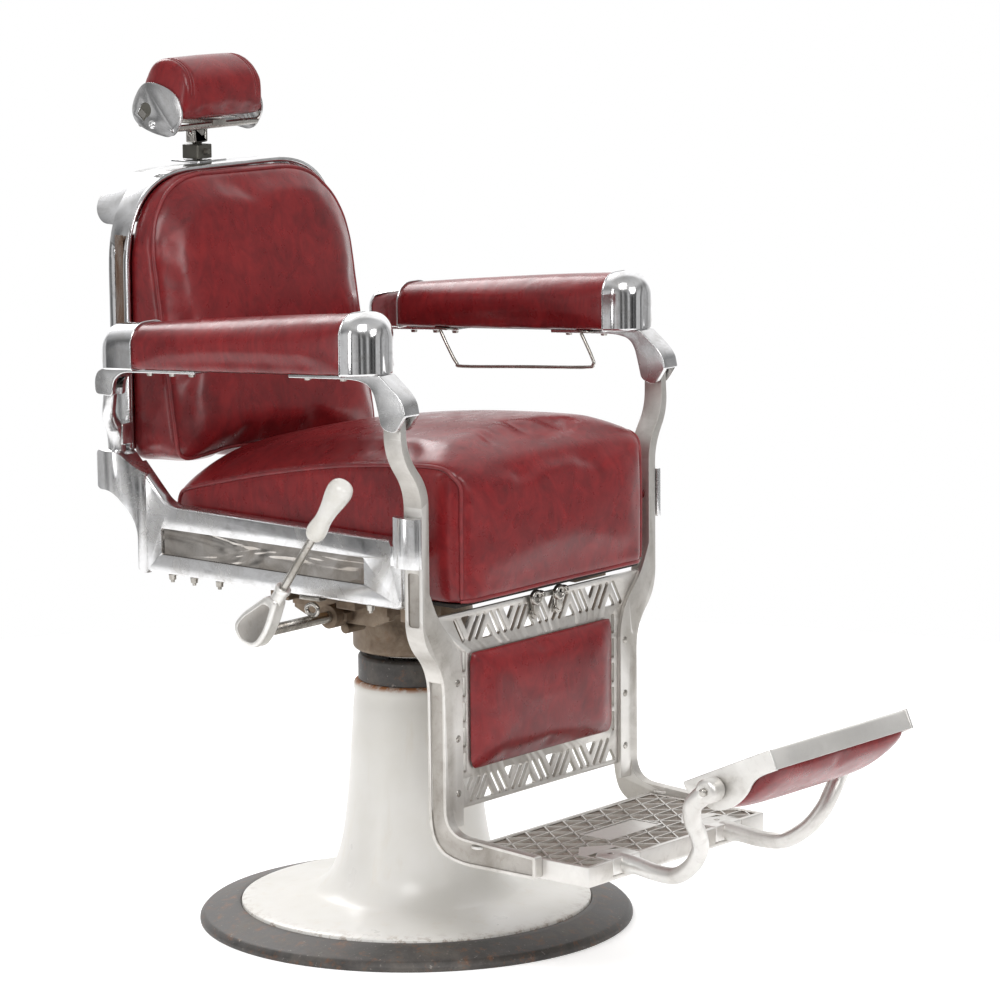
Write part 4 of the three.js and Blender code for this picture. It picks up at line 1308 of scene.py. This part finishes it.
def end_plate():
    """The headrest's pierced end plate, with a dark lens and a bright tongue behind its keyhole."""
    lower = [(357, 1168, 24), (364, 1144, 14), (381, 1127, 14), (424, 1134, 26), (456, 1148, 18)]
    upper = [(462, 1172, 24), (440, 1206, 18), (414, 1209, 18), (372, 1196, 26)]
    disc = slab(rounded(lower + upper, 10), "x", 84.8, 88)
    keyhole = slab(circle((432, 1167), 11), "x", 80, 95)
    diamond = slab([(449, 1161), (440, 1172), (426, 1162), (436, 1150)], "x", 80, 95)
    small = slab(circle((378, 1139), 2.6), "x", 80, 95)
    disc = paint(bevel(cut(disc, keyhole, diamond, small), 0.9, 2, 40), POLISHED)
    screw = paint(screw_head((88, 419, 1146), (1, 0, 0), 6.5, 0.9, 4), CHROME)
    lens = paint(slab(circle((434, 1165), 15), "x", 85.4, 86.8), BLACK)
    tongue = paint(slab([(448, 1161), (440, 1168), (431, 1161), (437, 1153)], "x", 86.6, 87.5), STEEL)
    made = gather(disc, screw, lens, tongue)
    place_pair(made, "end_plate", "headrest", None, ["headrest_end_plate_{side}"])


def gusset(x, z):
    """The headrest pad's ends lean in towards the top."""
    return x * (1 - 0.12 * max(0.0, z - 1165) / 80)


def headrest_pad():
    """The headrest's pad: a soft box over the bar, with gussets that lean in at each end."""
    top = [(449, 1198, 26), (428, 1242, 30), (384, 1243.5, 30), (349, 1212, 30)]
    section = rounded([(358, 1154, 10), (448, 1157, 12), *top], 7)
    steps = ((-86.5, 0.88), (-85.5, 0.95), (-82, 0.985), (-72, 1.0), (-50, 1.01), (-25, 1.015), (0, 1.02))
    rings = [[(x, y, z) for y, z in drawn_to(section, (402, 1196), share)] for x, share in steps]
    made = loft([[(gusset(x, z), y, z) for x, y, z in ring] for ring in to_both_ends(rings)])

    def keep(points):
        return near_edge(88 - np.abs(points[:, 0]), 18, 0.15) * near_edge(points[:, 2] - 1155, 20, 0.1)

    swell(made, 4.0, 6, keep)
    seams = [[(gusset(x, p.y), p.x, p.y) for p in section if p.y > 1160] for x in (-76, -70, 76, 70)]
    for seam in seams:
        pinch(made, seam, 0.9, 2.6)
    tree = tree_of(made)
    cords = [piping(tree, seam[::3], 0.9, False, 2, 0.1) for seam in seams]
    place(made, "head_pad", "headrest", VINYL, ["headrest_pad"], 60)
    place(gather(*cords), "head_seams", "headrest", angle=60)


# ---------------------------------------------------------------- arms


def arm_bottom(y):
    return 823 + (248 - y) * 0.062


def arm_top(y):
    return 888 + (248 - y) * 0.107


PAD_REAR, PAD_FRONT = 244.0, -161.0


def arm_pad():
    rings = []
    count = 22
    for i in range(count + 1):
        y = PAD_REAR + (PAD_FRONT - PAD_REAR) * i / count
        puff = 1 - 0.012 * math.cos(2 * math.pi * i / count)
        rings.append(ring_at(y, 38.3 * puff, arm_bottom(y), arm_top(y) - 1.5, 27, 7, ARM_X))
    made = loft(rings)

    def keep(points):
        y = points[:, 1]
        return near_edge(240 - y, 25) * near_edge(y + 157, 25) * near_edge(points[:, 2] - arm_bottom(y), 25)

    swell(made, 4.5, 5, keep)
    for pad in place_pair(made, "arm_vinyl", "arm_{side}", VINYL, ["arm_pad_{side}"], 60):
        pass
    ends = [(228, 0.3), (-150, 0.3), (-150, 1.1), (228, 1.1)]
    board = slab([(y, arm_bottom(y) - drop) for y, drop in ends], "x", 264, 312)
    place_pair(bevel(board, 0.5, 1), "arm_board", "arm_{side}", LINING)


def arm_cap(mouth, tip, radius):
    """A domed metal cap: the arm's section, drawn in along a quarter circle towards the tip."""
    sign = 1 if tip > mouth else -1
    straight = abs(tip - mouth) - radius
    dome = [straight + radius * math.sin(0.5 * math.pi * k / 10) for k in range(1, 11)]
    rings = []
    for depth in [0.0, straight * 0.5, straight, *dome]:
        y = mouth + sign * depth
        past = max(0.0, depth - straight) / radius
        drawn_in = radius * (1 - math.sqrt(max(0.0, 1 - past * past)))
        top = arm_top(y) + 1.0 - drawn_in * 0.9
        round_top = max(6, 31 - drawn_in * 0.35)
        rings.append(ring_at(y, 40.0 - drawn_in, arm_bottom(y) - 0.2, top, round_top, 4, ARM_X))
    made = loft(rings)
    bead = ring_at(mouth, 39.8, arm_bottom(mouth) - 0.2, arm_top(mouth) + 0.9, 31, 4, ARM_X)
    rim = tube([(x, mouth + sign * 1.0, z) for x, _, z in bead], 1.3, 8, True, 1)
    return gather(shade(made, 60), shade(rim, 60))


def under(at):
    """The underside of the arm's board."""
    return arm_bottom(at) - 0.6


def arm_bolts(spots, length):
    heads = []
    for at in spots:
        low = under(at) - 6
        heads.append(shade(rod((ARM_X, at, low + 0.5), (ARM_X, at, low - length), 5.5, 4.6, 18), 30))
    return steel(*heads)


def front_knuckle():
    y, z = ARM_FRONT_PIVOT
    horn = [
        *((-40, under(-40)), (-40, under(-40) - 6, 2), (-166, under(-166) - 6, 24), (-194, 834, 22)),
        *((y + 17, z + 4, 12), (y + 13, z - 13, 12), (y - 12, z - 18, 10), (y - 30, z + 8, 3)),
        *((y - 25, z + 30, 22), (-208, under(-208))),
    ]
    slot = [
        *((y + 30, z - 30), (y - 36, z - 30), (y - 36, z + 4), (y - 24, z + 8, 3)),
        *((y - 20, z + 18, 5), (y + 12, z + 18, 6), (y + 30, z + 6)),
    ]
    body = bevel(slab(rounded(horn, 10), "x", 272, 304), 5.0, 5, 30)
    body = paint(bevel(cut(body, slab(rounded(slot, 6), "x", 279, 299)), 0.9, 2, 45), POLISHED)
    made = gather(body, *steel(pin(ARM_FRONT_PIVOT, 5, (273, 303))), *arm_bolts((-62, -128), 4))
    place_pair(made, "knuckle", "arm_{side}", None, ["arm_front_bracket_{side}"])


def rear_hinge():
    y, z = ARM_REAR_PIVOT
    hood = [
        *((140, under(140)), (140, under(140) - 6, 2), (284, under(284) - 6, 16), (y - 18, z + 12, 12)),
        *((y - 17, z - 10, 7), (y + 17, z - 10, 9), (y + 19, z + 14, 16), (y + 8, under(y + 8), 18)),
    ]
    body = bevel(slab(rounded(hood, 10), "x", 274, 302), 4.0, 4, 30)
    gap = block((281, 295), (y - 30, y + 13), (z - 20, z + 18))
    body = paint(bevel(cut(body, gap), 0.9, 2, 45), POLISHED)
    made = gather(body, *steel(pin(ARM_REAR_PIVOT, 4, (275, 301))), *arm_bolts((158, 196, 240), 5))
    place_pair(made, "rear_hinge", "arm_{side}", None, ["arm_rear_bracket_{side}"])


TOWEL_RAIL = [
    *((166, 824), (150, 798), (134, 776), (120, 772), (4, 781)),
    *((-112, 790), (-128, 795), (-126, 806), (-106, 840)),
]


def arm_metal():
    for name, mouth, tip, radius in (("front", -155.3, -204, 34), ("rear", 238.3, 313, 27)):
        nodes = [f"arm_{name}_cap_{{side}}"]
        place_pair(arm_cap(mouth, tip, radius), f"{name}_cap", "arm_{side}", CHROME, nodes, 50)
    front_knuckle()
    rear_hinge()
    bar = shade(tube([(262, y, z) for y, z in TOWEL_RAIL], 2.6, 14), 60)
    feet = [block((256, 276), (at - 12, at + 12), (under(at) - 3, under(at) + 0.4)) for at in (160, -112)]
    made = gather(bar, *[bevel(foot, 0.6, 2) for foot in feet])
    place(made, "towel_rail", "arm_left", STEEL, ["towel_bar"], 50)


# ---------------------------------------------------------------- leg frame

POST_FROM_FRONT = [
    *((201, 140), (216, 140), (216, 428, 34), (261, 474, 34), (261, 688, 26), (295.5, 738, 26)),
    *((295.5, 820), (284, 820), (284, 742, 26), (246, 692, 26), (246, 486, 34), (201, 432, 34)),
]
POST_FLANGE = [
    *((178, 206), (208, 206), (208, 430, 20), (253, 484, 20), (253, 545), (246, 545)),
    *((228, 505, 20), (190, 464, 18), (178, 430, 16)),
]
POST_RECESS = [
    *((-238, 425, 5), (-238, 197, 40), (-397, 187, 3), (-397, 164.5, 3)),
    *((-267, 164.5, 20), (-229, 176, 20), (-216, 208, 26), (-216, 425, 5)),
]


def front_posts():
    y, z = ARM_FRONT_PIVOT
    from_side = [
        *((POST_FRONT, 200, 36), (POST_FRONT, 700, 22), (y - 15, z - 24, 10), (y - 14, z + 12, 14)),
        *((y + 14, z + 12, 14), (y + 16, z - 24, 10), (-211, 700, 22), (-211, 206, 32)),
        *((-226, 172, 22), (-268, 160, 22), (-402, 160, 5), (-402, 191, 5)),
    ]
    bar = slab(rounded(POST_FROM_FRONT, 12), "y", -420, -190)
    bar = common(bar, slab(rounded(from_side, 12), "x", 190, 300))
    bar = union(bar, slab(rounded(POST_FLANGE, 10), "y", POST_FRONT, -237))
    upper = slab(box_outline((-237, -217), (498, 574), 5), "x", 258.4, 263)
    lower = slab(rounded(POST_RECESS, 10), "x", 213.2, 218)
    bar = cut(bar, upper, lower, pin(FRONT_PIVOT, 9.4, (230, 270)), pin(ARM_FRONT_PIVOT, 8, (270, 310)))
    bar = paint(bevel(bar, 1.8, 3, 34), CAST)
    spots = ((410, 1.1), (331, 0.7), (253, 0.9))
    heads = [screw_head((188.4, POST_FRONT, height), (0, -1, 0), 5.2, turn, 1.2) for height, turn in spots]
    place_pair(gather(bar, *steel(*heads)), "post", "leg_frame", None, ["front_post_{side}"], 38)


def band_holes(limit, bottom, top):
    """Openings of a pierced band: pairs of slots that lean left and right by turns, and triangles between."""
    pitch, lean, apart, half = 46, 8.5, 7.4, 3.7
    base_half, height, rounding = 12.5, 20, 4.5
    holes = []
    count = int(limit // pitch) + 1
    for k in range(-count, count + 1):
        middle = k * pitch
        way = 1 if k % 2 else -1
        for offset in (-apart, apart):
            low = (middle + offset - way * lean, bottom + half)
            high = (middle + offset + way * lean, top - half)
            if max(abs(low[0]), abs(high[0])) + half < limit:
                holes.append(link(low, half, high, half - 0.01, 5))
        between = middle + pitch / 2
        if abs(between) + 12 < limit:
            base, tip = (bottom, bottom + height) if way > 0 else (top, top - height)
            corners = [(between - base_half, base), (between + base_half, base), (between, tip)]
            holes.append(rounded([(*corner, rounding) for corner in corners], 4))
    return holes


def grille():
    edge = [(199, 424, 10), (221, 459, 10), (232, 486, 10), (236, 507)]
    opposite = [(-x, *rest) for x, *rest in reversed(edge)]
    sheet = slab(rounded([(-199, 228), (199, 228), *edge, *opposite], 8), "y", GRILLE_FRONT, -231)
    holes = band_holes(196, 463, 500) + band_holes(176, 234, 270)
    for x in (-167, 167):
        for row in range(5):
            z = 278 + row * 36
            holes.append(box_outline((x - 3.5, x + 3.5), (z, z + 29), 3, 4))
    sheet = cut(sheet, gather(*[slab(hole, "y", -245, -225) for hole in holes]))
    place(bevel(sheet, 0.8, 2, 40), "grille", "leg_frame", CAST, ["grille_panel"], 40)


def leg_pad():
    outline = dense(box_outline((-160, 160), (279, 451), 12, 6))
    middle = 365
    steps = (
        *((1.0, -237.4), (1.0, -241), (0.985, -243.5), (0.93, -246)),
        *((0.8, -249), (0.6, -251), (0.3, -252)),
    )
    rings = []
    for share, y in steps:
        rise = 1 - (1 - share) * 1.4
        rings.append([(p.x * share, y, middle + (p.y - middle) * rise) for p in outline])
    made = loft(rings)

    def keep(points):
        edge_x = near_edge(161 - np.abs(points[:, 0]), 35, 0.08)
        edge_z = near_edge(87 - np.abs(points[:, 2] - middle), 30, 0.08)
        return edge_x * edge_z * near_edge(-238 - points[:, 1], 4)

    swell(made, 4.0, 8, keep, relaxing=14)
    place(made, "leg_vinyl", "leg_frame", VINYL, ["leg_pad"], 60)
    tray = slab(box_outline((-154, 154), (283, 447), 10, 5), "y", -238.4, -236.9)
    place(tray, "leg_backing", "leg_frame", BLACK)


def hooks():
    for name, x in (("left", 36), ("right", -16)):
        boss = bevel(slab(circle((x, 481), 7.8), "y", -243, -236.9), 1.4, 3)
        head = screw_head((x, -243, 481), (0, -1, 0), 5.4, 0.7, 1.0)
        neck = bevel(slab(link((x, 484), 5.5, (x, 498), 7), "y", -246, -238), 1.5, 3)
        loop = [(x + 8 * math.cos(a), -243.6, 504.4 + 8 * math.sin(a)) for a in turns(12)]
        ring = shade(tube(loop, 4.0, 16, True, 3), 60)
        bend = [(x + 7, -244, 511), (x + 10, -248, 510), (x + 11, -250, 505)]
        tip = shade(tube(bend, [3.6, 3.4, 2.6], 14), 60)
        made = gather(*steel(boss, head, neck, ring, tip))
        place(made, f"hook_{name}", "leg_frame", None, [f"hook_bracket_{name}"])


# The footplate's well, its ribs' heights, and the two places where no ribs run
WELL_X, WELL_Y = 193.0, (-476, -285.5)
RIB_BOTTOM, RIB_TOP, RIB_WIDTH = 182.8, 186.0, 2.0
RIB_ROWS, RIB_PITCH = 7, 42.0
CENTRE_X, CENTRE_Y = (-58, 58), (-408, -356)
SHELF = [(80, -476), (86.5, -439.5), (147.5, -439.5), (154, -476), (154, -428), (117, -400), (80, -428)]


def rib(start, end):
    """A straight rib on the footplate, between two (x, y) points."""
    start, end = Vector(start), Vector(end)
    side = Vector((-(end - start).y, (end - start).x)).normalized() * RIB_WIDTH / 2
    return slab([start - side, end - side, end + side, start + side], "z", RIB_BOTTOM, RIB_TOP)


def zigzag(row, front, rear):
    """The slanting ribs of one row, cut off at the well's sides."""
    ribs = []
    x = -200 + (row % 2) * RIB_PITCH / 2
    while x < 200:
        turn = (x + RIB_PITCH / 2, rear)
        for a, b in (((x, front), turn), (turn, (x + RIB_PITCH, front))):
            low_x, high_x = max(-WELL_X, min(a[0], b[0])), min(WELL_X, max(a[0], b[0]))
            if high_x - low_x >= 3:
                slope = (b[1] - a[1]) / (b[0] - a[0])
                ribs.append(rib(*[(t, a[1] + (t - a[0]) * slope) for t in (low_x, high_x)]))
        x += RIB_PITCH
    return ribs


def lattice():
    ribs = []
    depth = (WELL_Y[1] - WELL_Y[0]) / RIB_ROWS
    for row in range(RIB_ROWS):
        front, rear = WELL_Y[0] + row * depth, WELL_Y[0] + (row + 1) * depth
        if row:
            ribs.append(rib((-WELL_X, front), (WELL_X, front)))
        ribs += zigzag(row, front, rear)
    made = gather(*ribs)
    for x, y in ((CENTRE_X, CENTRE_Y), ((80, 154), (-490, -428)), ((-154, -80), (-490, -428))):
        trim(made, x, y)
    return made


def trim(made, x, y):
    """Clears a mesh out of a rectangle seen from above."""
    bm = bmesh.new()
    bm.from_mesh(made.data)
    for k in (0, 1):
        for at, normal in ((x[k], (1, 0, 0)), (y[k], (0, 1, 0))):
            everything = bm.verts[:] + bm.edges[:] + bm.faces[:]
            bmesh.ops.bisect_plane(bm, geom=everything, plane_co=Vector(normal) * at * MM, plane_no=normal)
    doomed = []
    for face in bm.faces:
        middle = face.calc_center_median() / MM
        if x[0] < middle.x < x[1] and y[0] < middle.y < y[1]:
            doomed.append(face)
    bmesh.ops.delete(bm, geom=doomed, context="FACES")
    bm.to_mesh(made.data)
    bm.free()


def footplate():
    plate = block((-200.5, 200.5), (-484, -277.5), (158, 186.5))
    under_side = block((-194.5, 194.5), (-478, -283.5), (150, 178))
    well = block((-192.5, 192.5), WELL_Y, (183, 190))
    notches = [block(x, (-486, -439.7), (164, 190)) for x in ((86.7, 147.3), (-147.3, -86.7))]
    plate = bevel(cut(plate, under_side, well, *notches), 1.4, 3, 40)
    pad = slab(box_outline((-55, 55), (-405, -359), 3), "z", RIB_BOTTOM, 185.6)
    border = cut(
        slab(box_outline((-60, 60), (-410, -354), 3), "z", RIB_BOTTOM, 186.4),
        slab(box_outline((-56.5, 56.5), (-406.5, -357.5), 3), "z", 180, 190),
    )
    shelves = [slab([(sign * x, y) for x, y in SHELF], "z", RIB_BOTTOM, 186.2) for sign in (1, -1)]
    lugs = []
    for x in (-207, 207):
        lugs.append(bevel(slab(circle((x, -296), 12), "z", 186.8, 191), 1.2, 2))
        lugs.append(bevel(rod((x, -296, 190), (x, -296, 195), 6, 5.6, 6), 0.6, 2))
    pieces = [paint(piece, CAST) for piece in (plate, pad, border, *shelves, *lugs)]
    dirt = paint(block((-192.4, 192.4), (-475.9, -285.6), (182.5, 183.4)), SAND)
    made = gather(*pieces, dirt, paint(lattice(), CAST))
    place(made, "step", "leg_frame", None, ["footplate"], 40)


def foot_arms():
    y, z = FOOT_PIVOT
    route = [
        *((117, -474, 176), (117, -490, 176), (117.5, -505, 175.5), (120, -538, 172), (125, -575, 175)),
        *((133, -608, 196), (142, -629, 224), (154, -635, 247), (169, -637, 270), (177, -644, 294)),
        (178, y + 4, z - 2),
    ]
    pipe = shade(tube(route, [15, 13.5, 12.2, 11.6, 11.6, 11.6, 11.8, 12, 12.4, 13, 14.5], 24), 60)
    tail = [(147, -452, 5), (128, -440, 8), (117, -440), (106, -440, 8), (87, -452, 5)]
    root = bevel(slab(rounded([(87, -484, 2), (147, -484, 2), *tail], 6), "z", 164.3, 187.4), 1.6, 3)
    boss = shade(bevel(pin(FOOT_PIVOT, 17, (161.5, 191), 40), 7, 6), 50)
    parts = [paint(piece, SATIN) for piece in (pipe, root, boss, pin(FOOT_PIVOT, 6, (151, 163)))]
    head = screw_head((121.7, -459, 187.2), (0, 0, 1), 4.6, 0.4, 1.0)
    nut = bevel(rod((191, y, z), (195, y, z), 6.5, 6.0, 6), 0.8, 2)
    made = gather(*parts, *steel(head, nut))
    place_pair(made, "foot_tube", "leg_frame", None, ["foot_arm_{side}"], 45)


# ---------------------------------------------------------------- foot pad

FOOT_TILT = math.atan2(64, 143)
# The tray's skin above the pivot, its far edge, its thickness, and where the cushion meets it
TRAY_SKIN, TRAY_TIP, TRAY_THICK = 23.5, 103.5, 3
TRAY_INNER = TRAY_SKIN - TRAY_THICK - 0.6


def pad_point(along, up, rounding=0):
    """A point of the foot pad's section: along the tray towards its front edge, and square to it."""
    y, z = FOOT_PIVOT
    c, s = math.cos(FOOT_TILT), math.sin(FOOT_TILT)
    return (y - along * c + up * s, z + along * s + up * c, rounding)


def pad_outline(spots, steps):
    return rounded([pad_point(*spot) for spot in spots], steps)


CHEEK = [
    *((-53, 24, 2), (-53, 12, 10), (-24, -26, 20), (8, -33, 18)),
    *((40, -24, 26), (64, -5, 20), (104, -5), (104, 24)),
]
BELLY = [
    *((-44, TRAY_INNER), (-46, 6, 14), (-22, -24, 26), (12, -32, 30), (66, -22, 36)),
    *((TRAY_TIP - 6, -8, 8), (TRAY_TIP - 5, TRAY_INNER)),
]


def foot_tray():
    plate = cut(slab(pad_outline(CHEEK, 10), "x", 155, 160.5), pin(FOOT_PIVOT, 6.4, (100, 200)))
    place_pair(bevel(plate, 1.2, 3, 40), "cheek", "foot_pad", SATIN)
    skin, tip, thick = TRAY_SKIN, TRAY_TIP, TRAY_THICK
    edge = [(tip - thick, skin - thick, 2), (tip - thick, -4), (tip, -4), (tip, skin, 4)]
    section = pad_outline([(-52, skin), (-52, skin - thick), *edge], 5)
    tray = bevel(slab(section, "x", -157, 157), 0.8, 2, 50)
    place(tray, "tray", "foot_pad", CAST, ["footrest_tray"], 40)


def foot_pad():
    foot_tray()
    belly = pad_outline(BELLY, 7)
    middle = Vector(pad_point(30, TRAY_INNER)[:2])
    steps = ((-152.5, 0.86), (-151, 0.93), (-146, 0.98), (-130, 1.0), (-90, 1.02), (-45, 1.03), (0, 1.03))
    rings = [[(x, y, z) for y, z in drawn_to(belly, middle, share)] for x, share in steps]
    made = loft(to_both_ends(rings))
    top = Vector((0, *pad_point(0, TRAY_INNER)[:2]))
    up = (Vector((0, *pad_point(0, TRAY_INNER + 10)[:2])) - top).normalized()

    def keep(points):
        below = -(points - np.array(top)) @ np.array(up)
        return near_edge(below, 16) * near_edge(153 - np.abs(points[:, 0]), 30, 0.1)

    swell(made, 4.5, 5, keep)
    place(made, "foot_vinyl", "foot_pad", VINYL, ["footrest_cushion"], 60)


# ---------------------------------------------------------------- the rest of the CAD nodes


def carried_over():
    """CAD nodes that stay as they are get their finishes."""
    finishes = {"floor_plate": RING, "swivel_bearing": STEEL, "pump_plunger": STEEL, "seat_board": BOARD}
    for name, chosen in finishes.items():
        paint(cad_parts[name], chosen)


# ---------------------------------------------------------------- studio


def floor_disc():
    bm = bmesh.new()
    spots = [(FLOOR_RADIUS * math.cos(a), FLOOR_RADIUS * math.sin(a), 0) for a in turns(96)]
    bm.faces.new([bm.verts.new(spot) for spot in spots])
    floor = make_object(bm, "studio_floor")
    made = bpy.data.materials.new("studio_floor")
    made.use_nodes = True
    n = Nodes(made.node_tree)
    colour = n.ramp(n.noise(3, 3), [(0.3, (0.86, 0.86, 0.86)), (0.7, (0.89, 0.89, 0.89))])
    matte = n.new("ShaderNodeBsdfDiffuse", {"Color": colour})
    glow = n.new("ShaderNodeEmission", {"Color": (1, 1, 1, 1), "Strength": FLOOR_GLOW})
    both = n.new("ShaderNodeAddShader", {0: matte.outputs[0], 1: glow.outputs[0]})
    n.new("ShaderNodeOutputMaterial", {"Surface": both.outputs[0]})
    floor.data.materials.append(made)


def surroundings():
    """White behind the chair; for reflections, a banded room with a bright ceiling and one bright wall."""
    world = bpy.data.worlds.new("studio")
    scene.world = world
    world.use_nodes = True
    n = Nodes(world.node_tree)
    direction = n.new("ShaderNodeTexCoord").outputs["Generated"]
    parts = n.new("ShaderNodeSeparateXYZ", {"Vector": direction}).outputs
    ceiling = [(0.0, 0.30), (0.2, 0.22), (0.42, 0.60), (0.62, 1.05), (1.0, 0.80)]
    high = n.ramp(n.range(parts["Z"], 0.0, 1.0), ceiling)
    level = n.new("ShaderNodeCombineXYZ", {"X": parts["X"], "Y": parts["Y"], "Z": 0.0}).outputs[0]
    flat = n.new("ShaderNodeVectorMath", {0: level}, operation="NORMALIZE").outputs[0]
    walls = [(0.38, 0.05), (0.47, 0.30), (0.52, 0.75), (0.60, 1.0)]
    bands = n.ramp(n.noise(2.6, 2, 0.5, 0.0, vector=flat), walls)
    colour = n.mix(n.range(parts["Z"], 0.40, 0.10), high, bands)
    towards = n.new("ShaderNodeVectorMath", {0: direction, 1: BACKDROP}, operation="DOT_PRODUCT")
    colour = n.mix(n.range(towards.outputs["Value"], 0.45, 0.72), colour, (2.0, 2.0, 2.0))
    room = n.new("ShaderNodeBackground", {"Color": colour, "Strength": WORLD_STRENGTH})
    white = n.new("ShaderNodeBackground", {"Color": (1, 1, 1, 1), "Strength": 1.0})
    seen = n.new("ShaderNodeLightPath").outputs["Is Camera Ray"]
    chosen = n.new("ShaderNodeMixShader", {0: seen, 1: room.outputs[0], 2: white.outputs[0]})
    n.new("ShaderNodeOutputWorld", {"Surface": chosen.outputs[0]})


LIGHTS = [
    # name, place, the point it faces, width, height, watts
    ("key", (-2.6, -2.2, 3.9), (0, 0, 0.7), 2.6, 2.0, 105),
    ("fill", (-0.3, -4.6, 2.4), (0, 0, 0.6), 1.6, 1.6, 55),
    ("rim", (1.2, 3.4, 3.4), (0, 0, 0.8), 2.6, 1.4, 70),
    ("strip", (-4.4, 1.6, 1.3), (0, 0, 0.7), 0.6, 2.6, 26),
]


def lights():
    for name, at, aim, width, height, watts in LIGHTS:
        light = bpy.data.lights.new(name, "AREA")
        light.shape = "RECTANGLE"
        light.size = width
        light.size_y = height
        light.energy = watts
        holder = bpy.data.objects.new(name, light)
        scene.collection.objects.link(holder)
        holder.location = at
        holder.rotation_euler = (Vector(aim) - Vector(at)).to_track_quat("-Z", "Y").to_euler()


def camera():
    """A long lens from the chair's front right, a little above the seat, rolled by half a degree."""
    azimuth, elevation, roll = math.radians(-50.295), math.radians(9.785), math.radians(-0.5173)
    distance, aside, above = 6.4486, 0.12748, 0.01669
    level = math.cos(elevation)
    back = Vector((math.sin(azimuth) * level, -math.cos(azimuth) * level, math.sin(elevation)))
    right = (-back).cross(Vector((0, 0, 1))).normalized()
    up = right.cross(-back)
    c, s = math.cos(roll), math.sin(roll)
    right, up = right * c + up * s, up * c - right * s
    data = bpy.data.cameras.new("camera")
    data.sensor_width = 36
    data.lens = 160.48
    data.clip_end = 200
    holder = bpy.data.objects.new("camera", data)
    scene.collection.objects.link(holder)
    at = Vector((0, 0, 0.6)) + back * distance + right * aside + up * above
    turn = Matrix((right, up, back)).transposed().to_4x4()
    holder.matrix_world = Matrix.Translation(at) @ turn
    scene.camera = holder
    scene.view_settings.view_transform = "Standard"
    scene.view_settings.look = "None"


for build in (
    *(pedestal, hub, side_rails, seat_cushion, pump_lever, back_frame, back_panel, back_cushion),
    *(back_brackets, headrest, headrest_pad, arm_pad, arm_metal, front_posts, grille, leg_pad, hooks),
    *(footplate, foot_arms, foot_pad, carried_over, floor_disc, surroundings, lights, camera),
):
    build()
